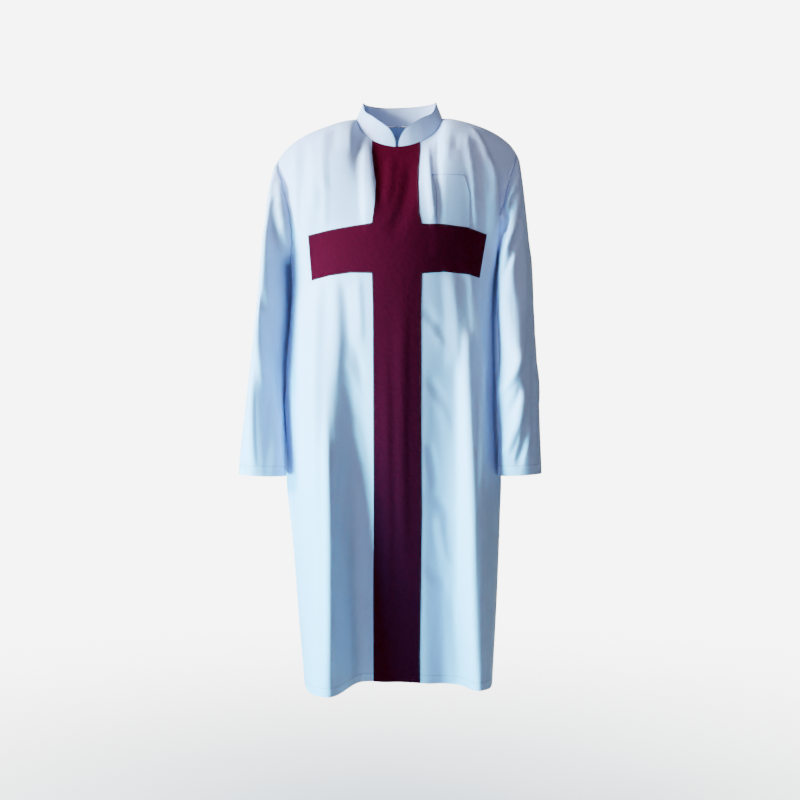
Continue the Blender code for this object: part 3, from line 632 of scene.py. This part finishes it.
def lay_straight(sheet):
    """Scales a sheet's flat layout to metres and turns it so that the layout's top is the cloth's."""
    layer = sheet.loops.layers.uv.verify()
    flat_area = cloth_area = 0.0
    rise = Vector((0.0, 0.0))
    middle = sum((vertex.co.z for vertex in sheet.verts)) / len(sheet.verts)
    loops = [loop for face in sheet.faces for loop in face.loops]
    centre = sum((loop[layer].uv for loop in loops), Vector((0.0, 0.0))) / len(loops)
    for face in sheet.faces:
        corners = [loop[layer].uv for loop in face.loops]
        flat_area += abs(sum(a.cross(b) for a, b in zip(corners, corners[1:] + corners[:1]))) / 2
        cloth_area += face.calc_area()
    for loop in loops:
        rise += (loop[layer].uv - centre) * (loop.vert.co.z - middle)
    rise.normalize()
    across = Vector((rise.y, -rise.x))
    scale = math.sqrt(cloth_area / flat_area)
    for loop in loops:
        place = loop[layer].uv - centre
        loop[layer].uv = Vector((place.dot(across), place.dot(rise))) * scale


def along_edges(edges, steps):
    """Points along some edges, as a tree to look up the nearest."""
    spots = [
        edge.verts[0].co.lerp(edge.verts[1].co, step / steps)
        for edge in edges
        for step in range(steps + 1)
    ]
    tree = KDTree(len(spots))
    for place, spot in enumerate(spots):
        tree.insert(spot, place)
    tree.balance()
    return tree


def is_hem(edge):
    """Whether an open edge is a turned hem, the tunic's own or a cuff's, and no side seam."""
    low, high = sorted(vertex.co.z for vertex in edge.verts)
    return high < HEMS_BELOW and high - low < HEM_SLOPE * edge.calc_length()


def note_distances(sheet):
    """Notes each point's distance from the nearest hem and the nearest seam, for the materials."""
    border = [edge for edge in sheet.edges if edge.is_boundary]
    kinds = {"hem": [e for e in border if is_hem(e)], "seam": [e for e in border if not is_hem(e)]}
    for kind, edges in kinds.items():
        layer = sheet.verts.layers.float.new(kind)
        tree = along_edges(edges, SHEET_EDGE_STEPS) if edges else None
        for vertex in sheet.verts:
            vertex[layer] = tree.find(vertex.co)[2] if tree else FAR_AWAY


def part_of_body(body, place):
    """One piece of the welded body as its own sheet, its seams opened and sunk a little."""
    settings = cloth_settings()
    sheet = bmesh.new()
    sheet.from_mesh(body.data)
    sheet.normal_update()
    number = sheet.faces.layers.int["piece"]
    seam = [v for v in sheet.verts if len({face[number] for face in v.link_faces}) > 1]
    inward = {vertex: vertex.normal * -settings.seam_groove for vertex in seam}
    others = [face for face in sheet.faces if face[number] != place]
    bmesh.ops.delete(sheet, geom=others, context="FACES")
    for vertex in [vertex for vertex in seam if vertex.is_valid]:
        middles = [face.calc_center_median() for face in vertex.link_faces]
        back = sum(middles, Vector()) / len(middles) - vertex.co
        gap = settings.side_gap if vertex.co.z < UNDER_ARM else settings.seam_gap
        vertex.co += inward[vertex] + back.normalized() * gap / 2
    lay_straight(sheet)
    note_distances(sheet)
    return sheet


def give_thickness(thing, thickness, outward=False, double=None):
    """Makes a sheet a closed wall, as thick as `double` where its hem is turned up."""
    wall = thing.modifiers.new("wall", "SOLIDIFY")
    wall.thickness = thickness
    wall.offset = 1.0 if outward else -1.0
    wall.use_quality_normals = True
    if double:
        group = thing.vertex_groups.new(name="turned_up")
        hem = thing.data.attributes["hem"].data
        depth = cloth_settings().hem_depth
        turned_up = [place for place, value in enumerate(hem) if value.value < depth]
        if turned_up:
            group.add(turned_up, 1.0, "REPLACE")
        wall.vertex_group = group.name
        wall.thickness = double
        wall.thickness_vertex_group = thickness / double
    apply_modifiers(thing)


def dress(piece, slot, *nodes):
    """Attaches a finished piece to the root and hides the nodes that it stands for; the slot is not used."""
    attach(piece, "root")
    if nodes:
        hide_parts(*nodes)


def cover(piece, material):
    """Gives a piece one material alone."""
    piece.data.materials.clear()
    piece.data.materials.append(bpy.data.materials[material])


def surface_of(thing):
    """A tree for finding the spot on a piece that lies behind a place seen from the front."""
    return BVHTree.FromObject(thing, bpy.context.evaluated_depsgraph_get())


def seen_from_front(tree, x, z):
    spot, normal, _, _ = tree.ray_cast(Vector((x, -IN_FRONT, z)), Vector((0, 1, 0)))
    return spot, normal


def value_at(rows, at, column):
    """A table's column where its first column is `at`, straight between its rows."""
    rows = sorted(rows, key=lambda row: row[0])
    return float(np.interp(at, [row[0] for row in rows], [getattr(row, column) for row in rows]))


def cross_outline():
    """The cross's outline seen from the front, as (x, z) corners from its upper right round."""
    right_end, left_end = BAR_RIGHT[-1], BAR_LEFT[-1]
    outline = [(row.left, row.height) for row in UPRIGHT_TOP]
    outline += [(row.across, row.top) for row in BAR_LEFT]
    outline += [(left_end.across - BAR_LEFT_SLANT, left_end.bottom)]
    outline += [(row.across, row.bottom) for row in BAR_LEFT[-2::-1]]
    outline += [(row.left, row.height) for row in UPRIGHT_BOTTOM]
    outline += [(row.right, row.height) for row in UPRIGHT_BOTTOM[::-1]]
    outline += [(row.across, row.bottom) for row in BAR_RIGHT[:-1]]
    outline += [(right_end.across + BAR_RIGHT_SLANT, right_end.bottom)]
    outline += [(row.across, row.top) for row in BAR_RIGHT[::-1]]
    outline += [(row.right, row.height) for row in UPRIGHT_TOP[::-1]]
    return outline


def pocket_outline():
    outline = [(row.outer, row.height) for row in POCKET]
    return outline + [(row.inner, row.height) for row in POCKET[::-1]]


def outline_prism(outline):
    """A closed prism of an outline seen from the front, reaching from the middle past the chest."""
    shape = bmesh.new()
    face = shape.faces.new([shape.verts.new((x, PRISM_BACK, z)) for x, z in outline])
    made = bmesh.ops.extrude_face_region(shape, geom=[face], use_keep_orig=True)
    front = [item for item in made["geom"] if isinstance(item, bmesh.types.BMVert)]
    bmesh.ops.translate(shape, verts=front, vec=(0, -PRISM_DEPTH, 0))
    bmesh.ops.recalc_face_normals(shape, faces=shape.faces)
    return object_from("outline", shape)


def sewn_on(name, front, outline, lift):
    """A patch of an outline sewn on the front: its cloth repeated and lifted off it."""
    low = [min(corner[axis] for corner in outline) - PATCH_MARGIN for axis in (0, 1)]
    high = [max(corner[axis] for corner in outline) + PATCH_MARGIN for axis in (0, 1)]
    sheet = bmesh.new()
    sheet.from_mesh(front)
    sheet.normal_update()
    raised = {vertex: vertex.co + vertex.normal * lift(vertex.co) for vertex in sheet.verts}
    for vertex, spot in raised.items():
        vertex.co = spot
    outside = [
        face
        for face in sheet.faces
        if not all(low[0] < v.co.x < high[0] and low[1] < v.co.z < high[1] for v in face.verts)
    ]
    bmesh.ops.delete(sheet, geom=outside, context="FACES")
    patch = object_from(name, sheet)
    give_thickness(patch, cloth_settings().applied_thickness, outward=True)
    prism = outline_prism(outline)
    trim = patch.modifiers.new("outline", "BOOLEAN")
    trim.operation = "INTERSECT"
    trim.object = prism
    apply_modifiers(patch)
    bpy.data.objects.remove(prism)
    if not patch.data.polygons:
        raise RuntimeError(f"{name} is empty: its outline doesn't meet the front")
    note_edge(patch, outline)
    smooth_all(patch)
    return patch


def note_edge(patch, outline):
    """Notes each point's distance from a patch's own edge in place of the front's seams and hem."""
    sheet = bmesh.new()
    sheet.from_mesh(patch.data)
    edge = bmesh.new()
    corners = [edge.verts.new((x, 0.0, z)) for x, z in outline]
    sides = [edge.edges.new(pair) for pair in zip(corners, corners[1:] + corners[:1])]
    tree = along_edges(sides, PATCH_EDGE_STEPS)
    for vertex in sheet.verts:
        vertex[sheet.verts.layers.float["seam"]] = tree.find((vertex.co.x, 0.0, vertex.co.z))[2]
        vertex[sheet.verts.layers.float["hem"]] = FAR_AWAY
    sheet.to_mesh(patch.data)
    edge.free()
    sheet.free()


def smooth_all(thing):
    make_active(thing)
    bpy.ops.object.shade_smooth_by_angle(angle=math.radians(SHARP_EDGE))


def over_pocket(spot):
    """1 where the cloth lies over the pocket and 0 away from it."""
    inner = value_at(POCKET, spot.z, "inner")
    outer = value_at(POCKET, spot.z, "outer")
    across = max(inner - spot.x, spot.x - outer, 0.0)
    along = max(POCKET[-1].height - spot.z, spot.z - POCKET[0].height, 0.0)
    return float(1 - ease((math.hypot(across, along) - POCKET_MARGIN) / POCKET_SLOPE))


def thread_shape():
    """One stitch one unit long and one thick, lying along X with its hump up along Z."""
    shape = bmesh.new()
    bmesh.ops.create_uvsphere(shape, u_segments=6, v_segments=4, radius=0.5)
    for vertex in shape.verts:
        vertex.co = Vector((vertex.co.z, vertex.co.y, vertex.co.x))
    points = np.array([vertex.co[:] for vertex in shape.verts])
    faces = [[vertex.index for vertex in face.verts] for face in shape.faces]
    shape.free()
    return points, faces


def even_steps(path, step):
    """(spot, normal, direction) at even steps along a path of (spot, normal) pairs."""
    lengths = [0.0]
    for (here, _), (there, _) in zip(path, path[1:]):
        lengths.append(lengths[-1] + (there - here).length)
    count = int(lengths[-1] / step)
    place = 0
    for number in range(count):
        at = (number + 0.5) * lengths[-1] / count
        while lengths[place + 1] < at:
            place += 1
        (here, normal), (there, next_normal) = path[place], path[place + 1]
        share = (at - lengths[place]) / (lengths[place + 1] - lengths[place])
        yield here.lerp(there, share), normal.lerp(next_normal, share), (there - here).normalized()


def sew(name, paths, material):
    """One mesh of all the stitches along some paths."""
    settings = cloth_settings()
    template, template_faces = thread_shape()
    width = settings.thread_width
    size = np.array((settings.stitch_length * STITCH_SHARE, width, width))
    points, faces = [], []
    for path in paths:
        for spot, normal, along in even_steps(path, settings.stitch_length):
            side = normal.cross(along).normalized()
            axes = np.array((along, side, along.cross(side)))
            start = len(points) * len(template)
            middle = np.array(spot + normal * width * STITCH_RISE)
            points.append(template * size @ axes + middle)
            faces += [[start + corner for corner in face] for face in template_faces]
    mesh = bpy.data.meshes.new(name)
    mesh.from_pydata(np.concatenate(points), [], faces)
    mesh.materials.append(bpy.data.materials[material])
    mesh.shade_smooth()
    made = bpy.data.objects.new(name, mesh)
    bpy.context.scene.collection.objects.link(made)
    return made


def front_path(tree, corners):
    """A path on a piece through corners seen from the front, as (spot, normal) pairs."""
    path = []
    for (x, z), (next_x, next_z) in zip(corners, corners[1:]):
        steps = max(1, round(math.hypot(next_x - x, next_z - z) / PATH_SPACING))
        for step in range(steps + 1):
            share = step / steps
            spot, normal = seen_from_front(tree, x + (next_x - x) * share, z + (next_z - z) * share)
            if spot is not None:
                path.append((spot, normal))
    return path


def inset(corners, margin):
    """An outline's corners moved inward, for stitching that lies inside its edge."""
    moved = []
    for before, here, after in zip(corners[-1:] + corners[:-1], corners, corners[1:] + corners[:1]):
        here = Vector(here)
        first = (here - Vector(before)).normalized()
        second = (Vector(after) - here).normalized()
        normals = Vector((first.y, -first.x)), Vector((second.y, -second.x))
        corner = (normals[0] + normals[1]) / (1 + normals[0].dot(normals[1]))
        moved.append(tuple(here + corner * margin))
    return moved


def border_loops(mesh, wanted):
    """A sheet's open edges that `wanted` accepts, joined up into lists of points."""
    sheet = bmesh.new()
    sheet.from_mesh(mesh)
    beside = {}
    for edge in sheet.edges:
        if edge.is_boundary and wanted(edge):
            for here, there in (edge.verts, reversed(edge.verts)):
                beside.setdefault(here, []).append(there)
    loops = []
    while beside:
        here = min(beside, key=lambda vertex: len(beside[vertex]))
        loop = [here]
        while True:
            around = beside.pop(here)
            near = [vertex for vertex in around if vertex in beside]
            if not near:
                break
            here = near[0]
            loop.append(here)
        if len(loop) > 2 and loop[0] in around:
            loop.append(loop[0])
        loops.append([vertex.co.copy() for vertex in loop])
    sheet.free()
    return loops


def plug(tree, node, inputs):
    """Sets a node's named or numbered inputs to plain values, or joins them to other results."""
    for name, value in inputs.items():
        if isinstance(value, bpy.types.NodeSocket):
            tree.links.new(value, node.inputs[name])
        else:
            node.inputs[name].default_value = value


def add_node(tree, kind, inputs=None, **settings):
    made = tree.nodes.new("ShaderNode" + kind)
    for name, value in settings.items():
        setattr(made, name, value)
    plug(tree, made, inputs or {})
    return made


def maths(tree, operation, *values):
    """A Math node's result from sockets and numbers."""
    return add_node(tree, "Math", dict(enumerate(values)), operation=operation).outputs[0]


def smooth_step(tree, value, from_low, from_high):
    """0 where a value is from_low and 1 where it is from_high, eased between them."""
    rising = from_low < from_high
    inputs = {
        "Value": value,
        "From Min": min(from_low, from_high),
        "From Max": max(from_low, from_high),
        "To Min": 0.0 if rising else 1.0,
        "To Max": 1.0 if rising else 0.0,
    }
    return add_node(tree, "MapRange", inputs, interpolation_type="SMOOTHSTEP").outputs["Result"]


def colour_mix(tree, factor, first, second, blend="MIX"):
    """Two colours mixed by a factor."""
    inputs = {"Factor": factor, "A": first, "B": second}
    return add_node(tree, "Mix", inputs, data_type="RGBA", blend_type=blend).outputs["Result"]


def new_group(name, inputs, outputs):
    """A node group with its named sockets, what it is given and its output node."""
    group = bpy.data.node_groups.new(name, "ShaderNodeTree")
    for in_out, sockets in (("INPUT", inputs), ("OUTPUT", outputs)):
        for socket, kind in sockets.items():
            group.interface.new_socket(socket, in_out=in_out, socket_type="NodeSocket" + kind)
    given = group.nodes.new("NodeGroupInput").outputs
    return group, given, group.nodes.new("NodeGroupOutput")


def weave_group():
    """Plain weave over a sheet's own flat layout: its height and its yarns' uneven tone."""
    inputs = {"Cloth Place": "Vector", "Yarn Spacing": "Float", "Slub Spacing": "Float"}
    group, given, end = new_group("plain weave", inputs, {"Height": "Float", "Tone": "Float"})
    split = add_node(group, "SeparateXYZ", {0: given["Cloth Place"]})
    waves = []
    for axis in ("X", "Y"):
        turn = maths(group, "DIVIDE", split.outputs[axis], given["Yarn Spacing"])
        waves.append(maths(group, "SINE", maths(group, "MULTIPLY", turn, math.pi)))
    crossing = maths(group, "MULTIPLY", *waves)
    slubs = maths(group, "DIVIDE", 1.0, given["Slub Spacing"])
    streaks = []
    for number, stretch in enumerate(SLUB_STRETCH):
        stretched = {0: given["Cloth Place"], 1: (*stretch, 1.0)}
        drawn_out = add_node(group, "VectorMath", stretched, operation="MULTIPLY").outputs[0]
        spread = add_node(group, "VectorMath", {0: drawn_out, "Scale": slubs}, operation="SCALE").outputs[0]
        tone = {"Vector": spread, "Detail": SLUB_DETAIL + number}
        streaks.append(add_node(group, "TexNoise", tone, noise_dimensions="2D").outputs["Fac"])
    plug(
        group,
        end,
        {
            "Height": maths(group, "MULTIPLY_ADD", crossing, 0.5, 0.5),
            "Tone": maths(group, "MULTIPLY", maths(group, "ADD", *streaks), 0.5),
        },
    )


def seam_group():
    """Puckers beside seams and hems, the sunk line of a hem's stitching, and painted shade along seams and
    that line.
    """
    inputs = {"Hem Distance": "Float", "Seam Distance": "Float", "Hem Depth": "Float", "Place": "Vector"}
    group, given, end = new_group("sewn edges", inputs, {"Height": "Float", "Shade": "Float"})
    scaled = {"Vector": given["Place"], "Scale": PUCKERS_PER_METRE, "Detail": PUCKER_DETAIL}
    pucker = add_node(group, "TexNoise", scaled).outputs["Fac"]
    off_line = maths(group, "SUBTRACT", given["Hem Distance"], given["Hem Depth"])
    off_line = maths(group, "ABSOLUTE", off_line)
    near_line = smooth_step(group, off_line, HEM_LINE_WIDTH, 0.0)
    near_seam = smooth_step(group, given["Seam Distance"], SEAM_PUCKER_WIDTH, 0.0)
    near_hem = smooth_step(group, off_line, HEM_PUCKER_WIDTH, 0.0)
    rumple = maths(group, "MULTIPLY", pucker, maths(group, "MAXIMUM", near_seam, near_hem))
    # Painted shade: a darkening of the cloth's colour along seams and patch edges, and along the hem's
    # stitching line.
    painted_seam_shade = smooth_step(group, given["Seam Distance"], PAINTED_SEAM_SHADE_WIDTH, 0.0)
    painted_line_shade = maths(group, "MULTIPLY", near_line, PAINTED_LINE_SHADE)
    plug(
        group,
        end,
        {
            "Height": maths(group, "MULTIPLY_ADD", near_line, -LINE_DEPTH, rumple),
            "Shade": maths(group, "MAXIMUM", painted_line_shade, painted_seam_shade),
        },
    )


def new_material(name):
    """A new material, its node tree, its shader and the place on its object."""
    material = bpy.data.materials.new(name)
    material.use_nodes = True
    tree = material.node_tree
    return material, tree, tree.nodes["Principled BSDF"], add_node(tree, "TexCoord").outputs["Object"]


def placed_group(tree, name, inputs):
    return add_node(tree, "Group", inputs, node_tree=bpy.data.node_groups[name]).outputs


def bump(tree, height, strength, relief, under=None):
    """A relief's normals, over those of a finer relief where there is one."""
    inputs = {"Height": height, "Strength": strength, "Distance": relief}
    if under:
        inputs["Normal"] = under
    return add_node(tree, "Bump", inputs).outputs["Normal"]


def cloth_material(name, colour, shade, finish, hem_depth):
    """Woven cloth: yarns and slubs over its flat layout, puckers and painted shade along seams and hems."""
    roughness, sheen, gloss = finish
    _, tree, shader, place = new_material(name)
    layout = add_node(tree, "UVMap").outputs["UV"]
    spacings = {"Yarn Spacing": YARN_SPACING, "Slub Spacing": SLUB_SPACING}
    weave = placed_group(tree, "plain weave", {"Cloth Place": layout, **spacings})
    distances = {
        socket: add_node(tree, "Attribute", attribute_name=kind).outputs["Fac"]
        for kind, socket in (("hem", "Hem Distance"), ("seam", "Seam Distance"))
    }
    edges = placed_group(tree, "sewn edges", {"Place": place, "Hem Depth": hem_depth, **distances})
    toned = smooth_step(tree, weave["Tone"], TONE_FROM, TONE_TO)
    tone = colour_mix(tree, toned, (*shade, 1.0), (*colour, 1.0))
    rough = roughness + ROUGHNESS_SPREAD / 2
    yarns = bump(tree, weave["Height"], YARN_STRENGTH, YARN_RELIEF)
    look = {
        # Painted shade: the seams' and hem line's darkening is multiplied into the base colour.
        "Base Color": colour_mix(tree, edges["Shade"], tone, PAINTED_SEAM_SHADE, "MULTIPLY"),
        "Roughness": maths(tree, "MULTIPLY_ADD", weave["Tone"], -ROUGHNESS_SPREAD, rough),
        "Specular IOR Level": gloss,
        "Sheen Weight": sheen,
        "Sheen Roughness": SHEEN_ROUGHNESS,
        "Normal": bump(tree, edges["Height"], PUCKER_STRENGTH, PUCKER_RELIEF, yarns),
    }
    plug(tree, shader, look)


def thread_material(name, colour):
    """Twisted sewing thread with a slight sheen and an uneven tone."""
    _, tree, shader, place = new_material(name)
    twist = add_node(tree, "TexNoise", {"Vector": place, "Scale": THREAD_TWISTS_PER_METRE}).outputs["Fac"]
    darkest = (*(THREAD_DARKEST * value for value in colour), 1.0)
    tone = colour_mix(tree, twist, darkest, (*colour, 1.0))
    plug(tree, shader, {"Base Color": tone, "Roughness": 0.5, "Sheen Weight": 0.2})


def camera_sees(tree, shader, backdrop, share=None):
    """Joins a shader to the output, and to the camera alone a bright backdrop in its place."""
    seen = add_node(tree, "LightPath").outputs["Is Camera Ray"]
    seen = maths(tree, "MULTIPLY", share, seen) if share else seen
    mix = add_node(tree, "MixShader", {0: seen, 1: shader.outputs[0], 2: backdrop.outputs[0]})
    output = next(node for node in tree.nodes if node.name in ("Material Output", "World Output"))
    tree.links.new(mix.outputs[0], output.inputs["Surface"])


def floor_material(colour):
    """A pale floor that fades into the bright backdrop away from the tunic."""
    material, tree, shader, place = new_material("studio floor")
    plug(tree, shader, {"Base Color": (*colour, 1.0), "Roughness": 0.9})
    away = add_node(tree, "VectorMath", {0: place}, operation="LENGTH").outputs["Value"]
    faded = smooth_step(tree, away, FLOOR_FADE_START, FLOOR_FADE_END)
    backdrop = add_node(tree, "Emission", {"Strength": BACKDROP_STRENGTH})
    camera_sees(tree, shader, backdrop, faded)
    return material


def studio_world():
    """Soft bluish light from all round, before a backdrop that the camera sees as white."""
    world = bpy.context.scene.world or bpy.data.worlds.new("studio")
    bpy.context.scene.world = world
    world.use_nodes = True
    tree = world.node_tree
    light = tree.nodes["Background"]
    plug(tree, light, {"Color": WORLD_COLOUR, "Strength": WORLD_STRENGTH})
    white = {"Color": (1.0, 1.0, 1.0, 1.0), "Strength": BACKDROP_STRENGTH}
    camera_sees(tree, light, add_node(tree, "Background", white))


class TUNIC_OT_materials(bpy.types.Operator):
    """Makes the cloths' and threads' materials"""

    bl_idname = "tunic.materials"
    bl_label = "Materials"

    def execute(self, context):
        colours, sizes = colour_settings(), cloth_settings()
        weave_group()
        seam_group()
        for name, depth in (("white cloth", sizes.hem_depth), ("white sleeve cloth", sizes.cuff_depth)):
            cloth_material(name, colours.white, colours.white_shade, WHITE_FINISH, depth)
        cloth_material("crimson cloth", colours.crimson, colours.crimson_shade, CRIMSON_FINISH, FAR_AWAY)
        thread_material("white thread", colours.white_thread)
        thread_material("crimson thread", colours.crimson_thread)
        return {"FINISHED"}


class TUNIC_OT_body(bpy.types.Operator):
    """Makes the front, the back and the sleeves as one creased cloth, cut apart at its seams"""

    bl_idname = "tunic.body"
    bl_label = "Body and sleeves"

    def execute(self, context):
        settings = cloth_settings()
        body = weld_body()
        mark_cuts(body)
        unwrap(body)
        refine(body, 2)
        press_creases(body, BODY_CREASES)
        for place, (name, nodes) in enumerate(BODY_PIECES.items()):
            piece = object_from(name + "_cloth", part_of_body(body, place))
            sheet = piece.data.copy()
            sheet.name = name + "_sheet"
            sheet.use_fake_user = True
            cover(piece, "white sleeve cloth" if place >= FIRST_SLEEVE else "white cloth")
            give_thickness(piece, settings.thickness, double=settings.thickness * 2)
            smooth_all(piece)
            dress(piece, WHITE_SLOT, *nodes)
        bpy.data.objects.remove(body)
        return {"FINISHED"}


class TUNIC_OT_collar(bpy.types.Operator):
    """Makes the stand collar as a lined, rounded band"""

    bl_idname = "tunic.collar"
    bl_label = "Collar"

    def execute(self, context):
        collar = object_from("collar_cloth", outer_sheet("collar"))
        unwrap(collar)
        refine(collar, 2)
        sheet = bmesh.new()
        sheet.from_mesh(collar.data)
        for face in sheet.faces:
            face.smooth = True
        lay_straight(sheet)
        note_distances(sheet)
        sheet.to_mesh(collar.data)
        sheet.free()
        cover(collar, "white cloth")
        give_thickness(collar, cloth_settings().collar_thickness)
        smooth_all(collar)
        dress(collar, WHITE_SLOT, "collar")
        return {"FINISHED"}


class TUNIC_OT_pocket(bpy.types.Operator):
    """Makes the patch pocket, sewn on the front under the cross's bar"""

    bl_idname = "tunic.pocket"
    bl_label = "Chest pocket"

    def execute(self, context):
        lift = cloth_settings().lift
        front = bpy.data.meshes["front_panel_sheet"]
        pocket = sewn_on("chest_pocket_cloth", front, pocket_outline(), lambda spot: lift)
        cover(pocket, "white cloth")
        dress(pocket, WHITE_SLOT, "chest_pocket")
        return {"FINISHED"}


class TUNIC_OT_cross(bpy.types.Operator):
    """Makes the crimson cross, sewn on the front from the neck seam to the hem"""

    bl_idname = "tunic.cross"
    bl_label = "Cross"

    def execute(self, context):
        settings = cloth_settings()
        over = settings.applied_thickness + settings.lift

        def lift(spot):
            return settings.lift + over * over_pocket(spot)

        front = bpy.data.meshes["front_panel_sheet"]
        cross = sewn_on("cross_cloth", front, cross_outline(), lift)
        cover(cross, "crimson cloth")
        dress(cross, CRIMSON_SLOT, "cross")
        return {"FINISHED"}


class TUNIC_OT_stitching(bpy.types.Operator):
    """Sews the edges of the cross and the pocket, the hem and the cuffs"""

    bl_idname = "tunic.stitching"
    bl_label = "Stitching"

    def execute(self, context):
        settings = cloth_settings()
        margin = settings.edge_margin
        outline = inset(cross_outline(), margin)
        around = front_path(surface_of(bpy.data.objects["cross_cloth"]), outline + outline[:1])
        dress(sew("cross_stitches", [around], "crimson thread"), CRIMSON_SLOT)
        pocket_tree = surface_of(bpy.data.objects["chest_pocket_cloth"])
        sides = inset(pocket_outline(), margin)
        edge = [(x, z) for x, z in sides if z > BAR_LEFT[0].top]
        inner = [corner for corner in edge if corner[0] < (POCKET[0].inner + POCKET[0].outer) / 2]
        outer = [corner for corner in edge if corner not in inner]

        def ends_at(height):
            """The two ends of a line of stitching across the pocket at a height."""
            inner_end = value_at(POCKET, height, "inner") + margin
            return (inner_end, height), (value_at(POCKET, height, "outer") - margin, height)

        inner_foot, outer_foot = ends_at(BAR_LEFT[0].top)
        runs = [inner_foot, *inner], [*outer, outer_foot], ends_at(POCKET[0].height - POCKET_BAND)
        paths = [front_path(pocket_tree, run) for run in runs]
        for name in BODY_PIECES:
            depth = settings.cuff_depth if name.startswith("sleeve") else settings.hem_depth
            paths += hem_paths(name, depth)
        dress(sew("white_stitches", paths, "white thread"), WHITE_SLOT)
        return {"FINISHED"}


def hem_paths(name, depth):
    """The lines of stitching that hold a piece's turned hem, `depth` above its edge."""
    tree = surface_of(bpy.data.objects[name + "_cloth"])
    above = Vector((0, 0, depth))
    loops = border_loops(bpy.data.meshes[name + "_sheet"], is_hem)
    return [[tree.find_nearest(point + above)[:2] for point in loop] for loop in loops if len(loop) > 2]


class TUNIC_OT_stage(bpy.types.Operator):
    """Makes the floor, the soft lights and the camera"""

    bl_idname = "tunic.stage"
    bl_label = "Stage"

    def execute(self, context):
        stage = context.scene.tunic_stage
        deselect_all()
        bpy.ops.mesh.primitive_circle_add(
            vertices=96, radius=stage.floor_radius, fill_type="NGON", location=(0, 0, stage.floor_height)
        )
        floor = context.object
        floor.name = "studio_floor"
        floor.data.materials.append(floor_material(colour_settings().floor))
        floor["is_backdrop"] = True
        for light in LIGHTS:
            add_light(light)
        studio_world()
        camera_data = bpy.data.cameras.new("camera")
        camera_data.lens = stage.focal_length
        camera_data.sensor_width = SENSOR_WIDTH
        camera = bpy.data.objects.new("camera", camera_data)
        context.scene.collection.objects.link(camera)
        camera.location = (stage.camera_side, -stage.camera_distance, stage.camera_height)
        camera.rotation_euler = (math.pi / 2, 0.0, 0.0)
        context.scene.camera = camera
        return {"FINISHED"}


def add_light(light):
    data = bpy.data.lights.new(light.name, "AREA")
    data.shape = "DISK"
    data.size = light.size
    data.spread = math.radians(light.spread)
    data.energy = light.power
    data.color = light.colour
    made = bpy.data.objects.new(light.name, data)
    bpy.context.scene.collection.objects.link(made)
    made.location = light.place
    towards = Vector(light.target) - Vector(light.place)
    made.rotation_euler = towards.to_track_quat("-Z", "Y").to_euler()


class TUNIC_PT_panel(bpy.types.Panel):
    """The tunic's sizes, colours and steps in the 3D view's sidebar"""

    bl_label = "Tunic"
    bl_idname = "TUNIC_PT_panel"
    bl_space_type = "VIEW_3D"
    bl_region_type = "UI"
    bl_category = "Tunic"

    def draw(self, context):
        for group in (context.scene.tunic_cloth, context.scene.tunic_colours, context.scene.tunic_stage):
            box = self.layout.box()
            for name in group.__annotations__:
                box.prop(group, name)
        for step in STEPS:
            self.layout.operator(step.bl_idname)


STEPS = (
    TUNIC_OT_materials,
    TUNIC_OT_body,
    TUNIC_OT_collar,
    TUNIC_OT_pocket,
    TUNIC_OT_cross,
    TUNIC_OT_stitching,
    TUNIC_OT_stage,
)
SETTINGS = {
    "tunic_cloth": TunicClothSettings,
    "tunic_colours": TunicColourSettings,
    "tunic_stage": TunicStageSettings,
}
CLASSES = (*SETTINGS.values(), *STEPS, TUNIC_PT_panel)


def register():
    for made in CLASSES:
        bpy.utils.register_class(made)
    for name, settings in SETTINGS.items():
        setattr(bpy.types.Scene, name, bpy.props.PointerProperty(type=settings))


def unregister():
    for name in SETTINGS:
        delattr(bpy.types.Scene, name)
    for made in reversed(CLASSES):
        bpy.utils.unregister_class(made)


def main():
    register()
    deselect_all()
    bpy.ops.tunic.materials()
    bpy.ops.tunic.body()
    bpy.ops.tunic.collar()
    bpy.ops.tunic.pocket()
    bpy.ops.tunic.cross()
    bpy.ops.tunic.stitching()
    bpy.ops.tunic.stage()
    boxes = {"cad": cad_box, "visual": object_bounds()}
    {name: [list(corner) for corner in box] for name, box in boxes.items()}


if __name__ == "__main__":
    main()
